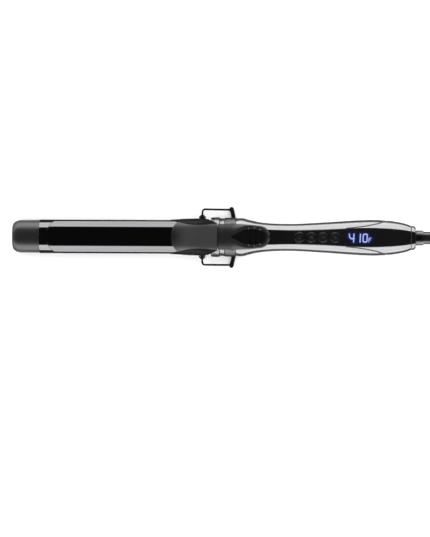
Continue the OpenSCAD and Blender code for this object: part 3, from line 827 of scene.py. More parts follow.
def sweep(path, radii, ring=18):
    """(points, faces) of a closed tube along a path, with a radius at each point."""
    path = [Vector(p) for p in path]
    along = (path[1] - path[0]).normalized()
    side = along.cross(Vector((0.31, 0.2, 0.93))).normalized()
    points = []
    for i, centre in enumerate(path):
        before, after = path[max(0, i - 1)], path[min(len(path) - 1, i + 1)]
        along = (after - before).normalized()
        side = (side - along * side.dot(along)).normalized()
        up = along.cross(side)
        for a in turns(ring):
            points.append(centre + (side * cos(a) + up * sin(a)) * radii[i])
    return points, tube_faces(len(path), ring)


def lathe_across(profile, radius):
    """A rounded profile of (y, r) turned about the stand's axis."""
    points, faces = lathe(rounded(profile, radius), 48)
    return [(STAND[0] + b, a, STAND[1] + c) for a, b, c in points], faces


def both_sides(part):
    """The part and its mirror image across the middle."""
    points, faces = part
    return join([part, ([(s, -y, z) for s, y, z in points], faces)])


# A screw's cross recess, by the radius of its head
CROSS_HALF = 0.17
CROSS_REACH = 0.62
CROSS_DEPTH = 0.35


def screw_head(centre, outwards, radius, dome):
    """A domed head with a cross recess, facing outwards."""
    outwards = Vector(outwards).normalized()
    side = outwards.cross(Vector((1, 0, 0))).normalized()
    other = outwards.cross(side)
    rings, spokes = 12, 48
    rows = []
    for i in range(rings + 1):
        r = radius * max(0.02, i / rings)
        for a in turns(spokes):
            x, y = r * cos(a), r * sin(a)
            height = dome * (1 - (r / radius) ** 2)
            low, high = sorted((abs(x), abs(y)))
            if high < radius * CROSS_REACH and low < radius * CROSS_HALF:
                height -= radius * CROSS_DEPTH
            rows.append(Vector(centre) + side * x + other * y + outwards * height)
    rows += [point - outwards * 0.8 for point in rows[-spokes:]]
    return rows, tube_faces(rings + 2, spokes)


COLLAR_SCREW = (208, 18.38, radians(40.7))
HANDLE_SCREWS = [228, 250, 362]
SCREW_SINK = 0.75


def make_screws():
    s, r, angle = COLLAR_SCREW
    heads = []
    for side in (1, -1):
        out = Vector((0, side * sin(angle), cos(angle)))
        heads.append(screw_head(Vector((s, 0, 0)) + out * r, out, 1.3, 0.12))
    add_closed("collar_screw_heads", *join(heads), "body", "screw_dark", ["collar_screws"])
    heads = [screw_head((s, 0, SCREW_SINK - handle_r(s)), (0, 0, -1), 2.5, 0.2) for s in HANDLE_SCREWS]
    add_closed("handle_screw_heads", *join(heads), "body", "screw_dark", ["handle_screws"])


STAND = (179.3, 0)
FOOT = (206.28, -21.65)
ARM_Y = 26.2
BEND_R = 3
WIRE_R = 0.9
FOOT_R = 2.05
FOOT_ARC = 105
FOOT_CENTRE = 104.6
FOOT_REACH = 26.85
FLOOR_SLOPE = tan(asin(ALONG.z))


def arm_path():
    """One arm: the pin out of the bracket, a round bend, and the run down to the foot."""
    path = [(STAND[0], y, STAND[1]) for y in steps_between(16.6, ARM_Y - BEND_R, 8)]
    run = Vector((FOOT[0] - STAND[0], 0, FOOT[1] - STAND[1]))
    length = run.length
    run.normalize()
    pin = Vector((STAND[0], 0, STAND[1]))
    for a in angles(0, 90, 10)[1:]:
        out = ARM_Y - BEND_R + BEND_R * sin(a)
        path.append(pin + run * BEND_R * (1 - cos(a)) + Vector((0, out, 0)))
    for d in steps_between(BEND_R, length - 0.3, 24)[1:]:
        path.append(pin + run * d + Vector((0, ARM_Y, 0)))
    return [tuple(p) for p in path]


def make_stand():
    """Two wire arms, the bar they carry as a foot, and a washer at each pin."""
    path = arm_path()
    end = Vector(path[-1])
    radii = [WIRE_R + 0.95 * smoothstep(1 - (Vector(p) - end).length / 4) ** 2 for p in path]
    add_closed("stand_wire", *both_sides(sweep(path, radii)), "stand", "stand_black", ["stand_arms"])
    stations = [-FOOT_REACH - FOOT_R * cos(a) for a in angles(4, 84, 8)]
    stations += steps_between(-FOOT_REACH, FOOT_REACH, 60)
    stations += [FOOT_REACH + FOOT_R * sin(a) for a in angles(6, 86, 8)]
    bar, radii = [], []
    for y in stations:
        s = FOOT_CENTRE + sqrt(FOOT_ARC**2 - y * y)
        bar.append((s, y, FOOT[1] - (s - FOOT[0]) * FLOOR_SLOPE))
        over = max(0.0, abs(y) - FOOT_REACH)
        waist = 0.16 * smoothstep((FOOT_REACH - abs(y) - 1.5) / 2)
        radii.append(sqrt(max(0.001, (FOOT_R - waist) ** 2 - over**2)))
    add_closed("stand_foot_bar", *sweep(bar, radii, 28), "stand", "stand_black", ["stand_foot"])
    washer = lathe_across([(18.1, 0.9), (18.1, 3.3), (19.4, 3.3), (19.6, 2.1), (20.7, 1.9),
                           (20.9, 0.92)], 0.2)
    add_closed("stand_flanges", *both_sides(washer), "stand", "stand_black", ["stand_washers"])
    make_bracket()


BAND = (174.5, 185.5)
BAND_R = 16.85
BAND_EDGE = acos(3.6 / 17.1)


def band_point(t, a):
    """Point of the bracket's band, with a raised bead along its two edges."""
    from_edge = min(t, 1 - t) * (BAND[1] - BAND[0])
    bead = 0.22 * exp(-((from_edge - 1.1) / 0.5) ** 2)
    return ring_point(lerp(*BAND, t), BAND_R + bead, a)


def make_bracket():
    """Band under the barrel with a round boss at each side for the stand's pins."""
    add_skin("stand_band", steps_between(0, 1, 33),
             steps_between(BAND_EDGE, 2 * pi - BAND_EDGE, 80), band_point, 0.85, 0.15,
             body="body", slot="stand_black", nodes=["stand_bracket"])
    boss = lathe_across([(15.6, 0.98), (15.6, 3.3), (17.2, 3.1), (17.98, 3.0), (17.98, 0.98)], 0.3)
    add_closed("stand_bosses", *both_sides(boss), "body", "stand_black")


# ---- clip


def clip_front(y):
    """Where the clip's front edge lies, at a distance y from the middle."""
    over = min(max(0.0, abs(y) - CLIP_FLAT), CLIP_CORNER)
    return CLIP_START + CLIP_CORNER - sqrt(CLIP_CORNER**2 - over**2)


LIP = 0.9
LIP_DROP = 0.62


def make_clip():
    """Spring plate with a rolled front lip."""
    lip_rows = steps_between(-1, 0, 8)[:-1]
    # The rim is marked for painted shade: a dark line that stands for the shadowed gap under the clip's edge.
    add_skin("clip_plate", lip_rows + steps_between(0, 1, 59),
             steps_between(-CLIP_HALF_ANGLE, CLIP_HALF_ANGLE, 120), clip_point,
             CLIP_T - 0.15, 0.1, zone=clip_rim_painted_shade, body="clip", slot="clip_metal", nodes=["clip"])


def clip_edges(u, degrees):
    """(s, how near the front edge, how near the side): u is under 0 on the lip, 1 at the end."""
    front = clip_front(CLIP_R * sin(radians(degrees)))
    s = front + LIP * (1 + u) if u < 0 else lerp(front + LIP, CLIP_END, u)
    across = radians(CLIP_HALF_ANGLE - abs(degrees)) * CLIP_R
    return s, max(0.0, 1 - (s - front) / LIP), max(0.0, 1 - across / LIP)


def clip_point(u, degrees):
    s, reach, side = clip_edges(u, degrees)
    drop = LIP_DROP * (1 - sqrt(max(0.0, 1 - min(1, reach * reach + side * side))))
    return ring_point(s, CLIP_R - drop, radians(degrees))


def clip_rim_painted_shade(u, degrees):
    """Painted shade: 1 on the clip's rim, darkened there for the shadowed gap under it, 0 inside it."""
    _, reach, side = clip_edges(u, degrees)
    return smoothstep((max(reach, side) - 0.05) / 0.3)


SPRING = [(200.8, 18.2), (211, 18.2), (211, 19.1), (203.2, 19.1), (202.4, 19.5), (211, 23),
          (210.8, 23.6), (201, 19.9)]
SPRING_HALF = 3
SPRING_SEAT_R = 18.45


def make_spring():
    """Leaf spring under the lever, with its free leaf raised."""
    outline = rounded(SPRING, 0.22)
    stations = steps_between(-SPRING_HALF, SPRING_HALF, 12)
    points = []
    for y in stations:
        seat = sqrt(SPRING_SEAT_R**2 - y * y)
        points += [(s, y, max(z, seat)) for s, z in outline]
    faces = tube_faces(len(stations), len(outline))
    spring = add_closed("clip_leaf_spring", points, faces, "body", "plain_steel", ["clip_spring"])
    soften_edges(spring, 0.08)
    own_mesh(spring)


# The cover's section by distance from the tip: its ridge, its crown and its lower edge
COVER_RIDGE_Y = [(150, 15.1), (156.5, 14.3), (162, 12.6), (168, 11.4), (175, 10.7),
                 (182, 10.9), (188, 11.6), (194.3, 12.0)]
COVER_RIDGE_Z = [(150, 10.2), (156.5, 11.4), (162, 14.2), (168, 16.8), (175, 19.1),
                 (182, 21.5), (188, 22.6), (194.3, 23.8)]
COVER_CROWN = [(150.7, 18.05), (157, 18.25), (164, 18.8), (172, 20.3), (184, 23.7),
               (190, 25.6), (194.3, 26.5)]
COVER_WIDTH = [(150, 16.2), (157, 16.6), (164, 17.1), (172, 17.39), (182, 17.3),
               (189, 15.2), (194.3, 12.6)]
COVER_LOW = [(150, 7.6), (157, 6.6), (164, 5.2), (172, 4.4), (178, 4.2), (184, 7),
             (190, 12), (194.3, 16.4)]
# Painted shade behind the middle of the cover's front edge: its strength and how far back it reaches in
# millimetres, then how much of it fades out towards the sides
COVER_FRONT_PAINTED_SHADE = (0.85, 16)
COVER_FRONT_PAINTED_SHADE_SIDE = 0.75
COVER_RIDGE = 0.56
COVER_BOW = 6.4
COVER_SKIRT = 7.2
COVER_LEAST_R = 17.75


def cover_front(v):
    """Front edge of the cover: a bow over the top, and skirts that run forward at the sides."""
    v = abs(v)
    if v <= COVER_RIDGE:
        return COVER_START + COVER_BOW * (v / COVER_RIDGE) ** 2.6
    return COVER_START + COVER_BOW - COVER_SKIRT * smoothstep((v - COVER_RIDGE) / 0.3)


def cover_point(s, v):
    """Point of the cover: v is 0 on top, COVER_RIDGE on the ridge, and 1 at its lower edge."""
    side = -1 if v < 0 else 1
    v = abs(v)
    ridge = Vector((curve_through(COVER_RIDGE_Y, s), curve_through(COVER_RIDGE_Z, s)))
    crown = curve_through(COVER_CROWN, s)
    if v <= COVER_RIDGE:
        t = v / COVER_RIDGE
        return (s, side * ridge.x * t, crown - (crown - ridge.y) * (0.7 * t**2 + 0.3 * t**6))
    t = (v - COVER_RIDGE) / (1 - COVER_RIDGE)
    edge = Vector((curve_through(COVER_WIDTH, s), curve_through(COVER_LOW, s)))
    control = Vector((lerp(ridge.x, edge.x, 0.25), lerp(ridge.y, edge.y, 0.55)))
    point = (1 - t) ** 2 * ridge + 2 * t * (1 - t) * control + t**2 * edge
    if s < CLIP_END and point.length < COVER_LEAST_R:
        point = point.normalized() * COVER_LEAST_R
    return (s, side * point.x, point.y)


def cover_painted_shade(u, v):
    """Painted shade: 1 on the flanks, darkened as if turned from the light, and part of that behind the middle of
    the front edge.
    """
    side = smoothstep((abs(v) - COVER_RIDGE - 0.02) / 0.06)
    middle = 1 - COVER_FRONT_PAINTED_SHADE_SIDE * smoothstep(abs(v) / COVER_RIDGE)
    behind = u * (COVER_REAR - cover_front(v))
    return max(side, COVER_FRONT_PAINTED_SHADE[0] * middle * smoothstep(1 - behind / COVER_FRONT_PAINTED_SHADE[1]))


def make_cover():
    # The zone paints shade: the flanks and a band behind the front edge come out darker.
    add_skin("clip_guard", steps_between(0, 1, 79), [k / 50 for k in range(-50, 51)],
             lambda u, v: cover_point(lerp(cover_front(v), COVER_REAR, u), v), 0.65, 0.16,
             zone=cover_painted_shade, body="clip", slot="cover_plastic", nodes=["clip_cover"])


# ---- thumb lever

LEVER_FRONT = -1.25
# Half widths and top heights, by distance from the pivot along the lever
LEVER_HALF = [(-1.25, 12.15), (15, 12.05), (25, 11.7), (34.6, 11.0), (38.9, 10.5)]
LEVER_ROUND = 38.9
LEVER_END_R = 10.4
LEVER_TOP = [(-1.25, 4.6), (10, 4.7), (30, 4.6), (44, 4.65), (49.3, 4.3)]
PAD = [(12.5, 0), (17, 3), (22, 6.6), (26, 9), (30, 9.5), (36, 9.3), (41, 8.3),
       (44.5, 6.2), (46.6, 3.4), (47.3, 0)]
SEAT_LEAST = 0.4
SEAT_DEPTH = 1.3
SHOULDER = (4.2, 1.0)
PAD_LIFT = 0.12


def lever_to_iron(u, y, w):
    """From the lever's slanted space, with its origin on the pivot, to the iron's space."""
    c, s = cos(LEVER_SLOPE), sin(LEVER_SLOPE)
    return (PIVOT[0] + u * c - w * s, y, PIVOT[1] + u * s + w * c)


def lever_half(u):
    """Half width of the lever, which ends in a half circle."""
    if u <= LEVER_ROUND:
        return min(curve_through(LEVER_HALF, u), 12.15)
    return sqrt(max(0.0, LEVER_END_R**2 - (u - LEVER_ROUND) ** 2))


def seat_half(u):
    """Half width of the thumb recess, a drop that starts as a point near the cover."""
    return max(0.0, curve_through(PAD, u)) if PAD[0][0] < u < PAD[-1][0] else 0.0


def lever_top(u, y):
    """Height of the lever's top: rounded shoulders, and a dished recess for the thumb."""
    half, seat = lever_half(u), max(SEAT_LEAST, seat_half(u))
    top = curve_through(LEVER_TOP, u)
    if abs(y) > seat:
        t = min(1.0, (abs(y) - seat) / max(0.2, half - seat))
        return top - lerp(*SHOULDER, smoothstep((u - 12) / 20)) * t * t
    depth = SEAT_DEPTH * smoothstep((u - PAD[0][0]) / 9) * smoothstep((PAD[-1][0] - u) / 1.6)
    return top - depth * smoothstep((1 - abs(y) / seat) / 0.3)


def lever_stations():
    stations = steps_between(LEVER_FRONT, LEVER_ROUND, 80)
    bends = angles(3, 87, 28) + [radians(89.2)]
    return stations + [LEVER_ROUND + LEVER_END_R * sin(a) for a in bends]


def make_lever():
    """Thumb lever: a shell drawn across from edge to edge, station by station."""
    points = []
    for u in lever_stations():
        half = lever_half(u)
        inner = max(0.02, half - 0.6)
        seat = min(max(SEAT_LEAST, seat_half(u)), inner * 0.97)
        edge = lever_top(u, inner)
        side = [(half, -1.5), (half, lerp(-1.5, edge, 0.4)), (half, edge - 0.75),
                (half - 0.1, edge - 0.38), (half - 0.3, edge - 0.12)]
        slope = [lerp(inner, seat, k / 14) for k in range(14)]
        seat_points = [seat * t for t in steps_between(1, -1, 44)]
        row = [(max(0.01, y), w) for y, w in side] + [(y, lever_top(u, y)) for y in slope]
        middle = [(y, lever_top(u, y)) for y in seat_points]
        for y, w in row + middle + [(-y, w) for y, w in reversed(row)]:
            points.append(lever_to_iron(u, y, w))
    stations = len(lever_stations())
    faces = grid_faces(stations, len(points) // stations)
    lever = add_mesh("lever_shell", points, faces, "clip", "lever_plastic", ["thumb_lever"])
    face_up(lever)
    trim_lever_front(lever)
    thicken(lever, 1.0, 0.1, 50)


def trim_lever_front(lever):
    """The lever's front edge stands upright, beside the cover's rear edge."""
    inverse = TO_FRAME.inverted()
    limit = COVER_REAR + 0.4
    for vertex in lever.data.vertices:
        place = (inverse @ vertex.co) / MM
        if place.x < limit:
            place.x = limit
            vertex.co = TO_FRAME @ (place * MM)


RIBS = [(30.3, 8.4), (35.9, 9.0), (41.5, 7.4)]


def make_pad():
    """Soft pad that fills the recess, with three raised cross ribs."""
    add_skin("thumb_pad_skin", steps_between(PAD[0][0] + 0.6, PAD[-1][0] - 0.12, 89),
             steps_between(-1, 1, 60), pad_point, 0.5, 0.08,
             body="clip", slot="pad_rubber", nodes=["thumb_pad"])
    for number, (station, half) in enumerate(RIBS, 1):
        make_rib(number, station, half)


def pad_height(u, y):
    return lever_top(u, y) + PAD_LIFT


def pad_point(u, across):
    y = 0.95 * seat_half(u) * across
    return lever_to_iron(u, y, pad_height(u, y))


def make_rib(number, station, half):
    """A rounded bar across the pad, with full round ends."""
    radius = 0.72
    rows, ring = 60, 16
    points, tip_highlights = [], []
    for across in steps_between(-1, 1, rows):
        y = half * across
        close = max(0.0, (abs(y) - (half - radius)) / radius)
        r = radius * sqrt(max(0.0, 1 - close**2)) + 0.01
        centre = pad_height(station, y) + 0.1
        for a in turns(ring):
            points.append(lever_to_iron(station + r * cos(a), y, centre + r * sin(a)))
            tip_highlights.append(smoothstep((abs(y) - half + 1.1) / 0.4))
    rib = add_closed(f"thumb_rib_{number}", points, tube_faces(rows + 1, ring), "clip",
                     "pad_rubber", material="rib_rubber")
    # The marked ends carry the painted highlight: rib_rubber colours them lighter.
    mark(rib, tip_highlights)


# ---- handle

GAP = 0.09
GROOVE = 0.45
GROOVE_DEPTH = 0.22
HANDLE_WALL = 1.8


def seam_s(s, angle, shift=0.0):
    """Distance from the tip of the V-shaped seam on the line of that angle, moved by shift."""
    for _ in range(12):
        half = max(0.0, handle_r(s) * abs(sin(angle)) + shift)
        s = line_through(SEAM, half)
    return s + shift


def panel_angle(s, gap=0.0):
    """Angle of the panel's edge, or of a gap beside it."""
    return asin((panel_half(s) + gap) / handle_r(s))


def side_edges(s):
    """Angles of a front shell's two edges: along the panel and half way down."""
    return panel_angle(max(s, PANEL_START), GAP), pi / 2 - GAP / handle_r(s)


def under_edges(s):
    """Angles of the bottom shell's two edges, the long way round."""
    edge = pi / 2 + GAP / handle_r(s)
    return edge, 2 * pi - edge


def tail_edges(s):
    """Angles of the tail shell's two edges, both along the panel."""
    edge = panel_angle(s, GAP)
    return edge, 2 * pi - edge


def settle(s, edges, station, v):
    """(s, angle) at v between two edges, where the station and the angle set each other."""
    angle = 0.0
    for _ in range(8):
        angle = lerp(*edges(s), v)
        s = station(s, angle)
    return s, angle


def screw_dimple(s, angle):
    """Depth of the round recess that each underside screw sits in."""
    across = handle_r(s) * (angle - pi)
    reach = min(hypot(s - station, across) for station in HANDLE_SCREWS)
    return SCREW_SINK * smoothstep((3.3 - reach) / 0.6)


def to_seam(u):
    return lambda s, angle: lerp(HANDLE_START, seam_s(s, angle, -GROOVE), u)


def from_seam(u):
    return lambda s, angle: lerp(seam_s(s, angle, GROOVE), HANDLE_END - 0.1, u)


def make_shell(name, grid, edges, stations, start, nodes, side=1):
    """One shell of the handle, between two edges and between its two ends."""
    def point_at(u, v):
        s, angle = settle(start, edges, stations(u), v)
        return handle_point(s, side * angle, -screw_dimple(s, angle))

    rows, columns = grid
    add_skin(name, steps_between(0, 1, rows), steps_between(0, 1, columns), point_at,
             HANDLE_WALL, 0.14, body="body", slot="handle_silver", nodes=nodes)


def make_handle():
    make_shell("handle_top_left", (109, 39), side_edges, to_seam, 280, ["handle_top"])
    make_shell("handle_top_right", (109, 39), side_edges, to_seam, 280, [], -1)
    make_shell("handle_bottom_skin", (199, 120), under_edges, to_seam, 280, ["handle_bottom"])
    make_shell("handle_tail_skin", (89, 199), tail_edges, from_seam, 350, ["handle_tail"])
    make_gasket()


def make_gasket():
    """Dark strip at the bottom of the V-shaped seam."""
    def point_at(shift, v):
        s, angle = settle(350, tail_edges, lambda s, a: seam_s(s, a, shift), v)
        return handle_point(s, angle, -GROOVE_DEPTH)

    reach = GROOVE + 0.15
    add_skin("handle_gasket", steps_between(-reach, reach, 5), steps_between(0, 1, 419), point_at,
             0.4, 0.05, body="body", slot="component_black")


# ---- panel, buttons, display

BUTTONS = ["power", "mode", "minus", "plus"]
FIRST_BUTTON = 270.9
BUTTON_PITCH = 11.27
BUTTON_R = 4.2
HOLE_R = 4.5
HOLE_SNAP = 0.28
BUTTON_DEPTH = 2.4
PANEL_WALL = 1.4
DISPLAY = (313.5, 342.5, 6.2)


def button_s(index):
    return FIRST_BUTTON + BUTTON_PITCH * index


def onto_circle(s, y, centres, radius):
    """Moves a grid point that lies close to one of the circles onto it."""
    for centre in centres:
        reach = hypot(s - centre, y)
        if abs(reach - radius) < HOLE_SNAP:
            return centre + (s - centre) * radius / reach, y * radius / reach
    return s, y


def make_panel():
    """Gloss strip on top of the handle, open where the buttons and the window sit."""
    ds = 0.45
    rows = int((HANDLE_END - 0.1 - PANEL_START) / ds) + 1
    columns = 51
    points, faces = [], []
    centres = [button_s(i) for i in range(len(BUTTONS))]
    for i in range(rows):
        s = PANEL_START + i * ds
        for j in range(columns):
            y = panel_half(s) * (2 * j / (columns - 1) - 1)
            points.append(top_point(*onto_circle(s, y, centres, HOLE_R)))
    for i, j, k, l in grid_faces(rows, columns):
        s = sum(points[n][0] for n in (i, j, k, l)) / 4
        y = sum(points[n][1] for n in (i, j, k, l)) / 4
        in_button = any(hypot(s - c, y) < HOLE_R - 0.02 for c in centres)
        in_window = DISPLAY[0] < s < DISPLAY[1] and abs(y) < DISPLAY[2]
        if not in_button and not in_window:
            faces.append((i, j, k, l))
    panel = add_mesh("panel_skin", points, faces, "body", "panel_gloss", ["control_panel"])
    rework(panel, lambda work: bmesh.ops.delete(
        work, geom=[v for v in work.verts if not v.link_faces], context="VERTS"))
    face_up(panel)
    thicken(panel, PANEL_WALL, 0.1)


def make_button_rings():
    """Thin raised rings, following the handle's round top."""
    steps = 72
    section = [(4.3, -1.6), (4.3, 0.02), (4.36, 0.1), (4.46, 0.14), (4.6, 0.14), (4.7, 0.1),
               (4.76, 0.0), (4.76, -0.6)]
    rings = []
    for index in range(len(BUTTONS)):
        points = [top_point(button_s(index) + r * cos(a), r * sin(a), lift)
                  for a in turns(steps) for r, lift in section]
        rings.append((points, loop_faces(steps, len(section))))
    add_closed("button_bezels", *join(rings), "body", "button_ring", ["button_rings"])


def button_top(index, ds, y):
    """Height of a button's cap: it follows the handle, with a soft crown."""
    reach = hypot(ds, y) / BUTTON_R
    crown = 0.22 * (1 - reach**2)
    edge = 0.25 * smoothstep((reach - 0.9) / 0.1)
    return top_point(button_s(index) + ds, y, crown - edge - 0.04)


def make_button(index, name):
    """A button's cap, in rings round its middle, with its sign on top."""
    rings, spokes = 14, 64
    points = [button_top(index, 0, 0)]
    radii = [BUTTON_R * sin(pi / 2 * i / rings) for i in range(1, rings + 1)]
    for r in radii:
        points += [button_top(index, r * cos(a), r * sin(a)) for a in turns(spokes)]
    points += [lifted(point, -BUTTON_DEPTH) for point in points[-spokes:]]
    faces = [(0, 1 + (k + 1) % spokes, 1 + k) for k in range(spokes)]
    faces += [tuple(1 + v for v in face) for face in grid_faces(rings + 1, spokes, wrap=True)]
    faces.append(tuple(1 + rings * spokes + k for k in range(spokes)))
    add_closed(f"{name}_cap", points, faces, f"{name}_key", "button_black", [f"{name}_button"])
    for number, stroke in enumerate(ICONS[name], 1):
        make_stroke(f"{name}_icon_{number}", stroke, ICON_WIDTH, 0.03, f"{name}_key", "button_ring",
                    lambda s, y, lift: lifted(button_top(index, s, y), lift), "icon_grey")


def lifted(point, lift):
    return (point[0], point[1], point[2] + lift)


def arc(radius, start, end, count=14):
    return [(radius * cos(a), radius * sin(a)) for a in angles(start, end, count)]


# Generic signs: a broken ring with a bar, three bars, a minus and a plus
ICONS = {
    "power": [arc(1.5, 125, 415), [(0, 0.6), (0, 2.0)]],
    "mode": [[(-1.5, 1.1), (1.5, 1.1)], [(-1.5, 0), (1.5, 0)], [(-1.5, -1.1), (1.5, -1.1)]],
    "minus": [[(-1.6, 0), (1.6, 0)]],
    "plus": [[(-1.6, 0), (1.6, 0)], [(0, -1.6), (0, -0.3)], [(0, 0.3), (0, 1.6)]],
}

STROKE_STEP = 0.35
STROKE_T = 0.08
ICON_WIDTH = 0.34
DIGIT_WIDTH = 1.1
LETTER_WIDTH = 0.62
GLOW_FADE = 0.7


def dense(line):
    """The same line with points no further apart than a step."""
    out = [Vector(line[0])]
    for a, b in zip(line, line[1:]):
        a, b = Vector(a), Vector(b)
        count = max(1, ceil((b - a).length / STROKE_STEP))
        out += [a.lerp(b, k / count) for k in range(1, count + 1)]
    return out


def stroke_stations(line, width):
    """(centre, half width) along a stroke, with round ends."""
    ends = [(cos(radians(a)), sin(radians(a))) for a in (10, 35, 60, 80)]
    radius = width / 2
    start = (line[0] - line[1]).normalized()
    finish = (line[-1] - line[-2]).normalized()
    stations = [(line[0] + start * radius * c, radius * s) for c, s in ends]
    stations += [(point, radius) for point in line]
    stations += [(line[-1] + finish * radius * c, radius * s) for c, s in reversed(ends)]
    return stations


def make_stroke(name, line, width, lift, body, slot, surface, material=None):
    """A raised flat stroke that follows a curved surface."""
    stations = stroke_stations(dense(line), width)
    points = []
    for i, (centre, radius) in enumerate(stations):
        before = stations[max(0, i - 1)][0]
        after = stations[min(len(stations) - 1, i + 1)][0]
        along = (after - before).normalized()
        normal = Vector((-along.y, along.x)) * radius
        left, right = centre + normal, centre - normal
        low = lift - STROKE_T
        corners = ((left, lift), (right, lift), (right, low), (left, low))
        points += [surface(corner.x, corner.y, height) for corner, height in corners]
    add_closed(name, points, tube_faces(len(stations), 4), body, slot, material=material)


DIGIT_LOW = -4.1
DIGIT_HIGH = 3.1
LEAN = 0.05


def figure(s0, *lines):
    """Strokes of a numeral from (across, up) points; up runs from 0 to 1."""
    tall = DIGIT_HIGH - DIGIT_LOW
    return [
        [(s0 + x + LEAN * up * tall, DIGIT_LOW + up * tall) for x, up in line]
        for line in lines
    ]


CHAMFER = 0.09
STROKES = [(line, DIGIT_WIDTH) for line in (
    figure(317.5, [(0, 1), (0.35, 0.62), (1.7, 0.42), (4.7, 0.42)], [(4.3, 1), (4.3, 0)])
    + figure(327.9, [(0, 1), (0, 0)])
    + figure(330.6, [(0.7, 1), (3, 1), (3.7, 1 - CHAMFER), (3.7, CHAMFER), (3, 0), (0.7, 0),
                     (0, CHAMFER), (0, 1 - CHAMFER), (0.7, 1)])
)]
STROKES += [(line, LETTER_WIDTH) for line in
            figure(336.0, [(0, 0), (0, 0.5), (2.0, 0.5)], [(0, 0.27), (1.5, 0.27)])]


def distance_to(line, x, y):
    p = Vector((x, y))
    nearest = []
    for a, b in zip(line, line[1:]):
        a, b = Vector(a), Vector(b)
        t = max(0.0, min(1.0, (p - a).dot(b - a) / (b - a).length_squared))
        nearest.append((p - a - (b - a) * t).length)
    return min(nearest)


def display_shine(s, y):
    """Glow on the window at a point: 1 on a lit stroke, fading away from it."""
    near = min(distance_to(line, s, y) - width / 2 for line, width in STROKES)
    return exp(-max(0.0, near) / GLOW_FADE)


def make_display():
    """Window that glows round its numerals, and the lit numerals on it."""
    start, end, half = DISPLAY[0] + 0.02, DISPLAY[1] - 0.02, DISPLAY[2] - 0.02
    add_skin("display_glass_skin", steps_between(start, end, 149), steps_between(-half, half, 63),
             top_point, PANEL_WALL, 0.08, zone=display_shine,
             body="body", slot="display_glass", nodes=["display_window"])
    for number, (line, width) in enumerate(STROKES, 1):
        make_stroke(f"numeral_{number}", line, width, 0.05, "body", "display_light", top_point)


# ---- tail end


def make_tail_end():
    """End ring with its seal and inlay, and the swivel's ribbed collar and relief."""
    ring = [(376.35, 9), (376.35, 11.5), (378.2, 11.2), (379.5, 10.5), (380.1, 9.6),
            (380.1, 5.5)]
    turned("end_ring_skin", ring, "body", "end_metal", ["end_ring"], 0.12)
    seal = [(375.3, 8), (375.3, 10.9), (376.7, 10.9), (376.7, 8)]
    turned("end_gasket", seal, "body", "component_black")
    add_skin("end_inlay", steps_between(0, 1, 23), steps_between(-1, 1, 40), inlay_point, 0.3, 0.08,
             body="body", slot="panel_gloss")
    collar = [(380.45, 4.9), (380.45, 6.7)]
    for i in range(4):
        s = 380.8 + i * 1.6
        collar += [(s, 7.18), (s + 0.95, 7.18), (s + 1.1, 6.8), (s + 1.5, 6.8)]
    collar += [(387.3, 6.8), (387.45, 6.5), (387.45, 5)]
    turned("swivel_band", collar, "swivel", "collar_grey", ["swivel_collar"], 0.08,
           material="swivel_grey")
    make_relief()


END_RING = [(376.35, 11.5), (378.2, 11.2), (379.6, 10.4), (380.1, 9.6)]


def inlay_point(t, across):
    """Point of the gloss black inlay that carries the panel on over the end ring."""
    s = lerp(376.4, 380.05, t)
    half = 6.15 * (1 - 0.12 * smoothstep((t - 0.6) / 0.4)) * (1 - 0.5 * max(0, t - 0.9))
    r = line_through(END_RING, s) + 0.05
    return ring_point(s, r, half * across / r)


def make_relief():
    """Tapered strain relief, cut through by staggered slots that let it bend."""
    sides = 96
    stations = steps_between(RELIEF_START - 0.4, RELIEF_END, 180)
    points = []
    for s in stations:
        t = max(0.0, (s - RELIEF_START) / (RELIEF_END - RELIEF_START))
        base = lerp(5.85, 3.75, smoothstep((t - 0.15) / 0.85))
        if s > RELIEF_END - 0.5:
            base -= 0.15
        points += [ring_point(s, base - relief_slot(s, a), a) for a in turns(sides)]
    add_closed("relief_sleeve", points, tube_faces(len(stations), sides), "swivel",
               "cord_rubber", ["strain_relief"])


SLOTS = (6, 39)
SLOT_PITCH = 2.9
SLOT_DEPTH = 0.75


def relief_slot(s, angle):
    """Depth of the slots, which lie in pairs, each pair a quarter turn from the last."""
    if not SLOTS[0] < s - RELIEF_START < SLOTS[1]:
        return 0.0
    phase = (s - RELIEF_START - SLOTS[0]) / SLOT_PITCH
    along = abs((phase % 1) - 0.5) * 2
    where = abs(cos(angle + (pi / 2 if floor(phase) % 2 else 0)))
    return SLOT_DEPTH * smoothstep((along - 0.5) / 0.25) * smoothstep((where - 0.28) / 0.18)


# ---- stage and light

FLOOR_COLOR = (0.92, 0.92, 0.92)
FLOOR_REACH = 6
FLOOR_GLOW = 0.75
GLOW_START = 0.8
GLOW_FULL = 1.25
WHITE = (1, 1, 1, 1)


def make_stage():
    """Pale floor, lit from below far from the iron so that it stays pale to its edge."""
    corners = [(x * FLOOR_REACH, y * FLOOR_REACH) for x, y in ((-1, -1), (1, -1), (1, 1), (-1, 1))]
    made = Shader("floor_paint", FLOOR_COLOR, 0.7)
    made.vary_color(made.noise(2, detail=2), 0.995, 1.005)
    distance = made.add("VectorMath", "Value", {0: made.place()}, operation="LENGTH")
    reach = {"Value": distance, "From Min": GLOW_START, "From Max": GLOW_FULL, "To Max": FLOOR_GLOW}
    glow = made.add("MapRange", "Result", reach, interpolation_type="SMOOTHSTEP")
    made.surface(Emission_Color=WHITE, Emission_Strength=glow)
    lay_sheet("floor", corners, 0, made.material)


def lay_sheet(name, outline, height, material):
    """A flat face of the stage, from its outline in metres."""
    mesh = bpy.data.meshes.new(name)
    mesh.from_pydata([(x, y, height) for x, y in outline], [], [tuple(range(len(outline)))])
    mesh.materials.append(material)
    sheet = add_object(name, mesh)
    return sheet


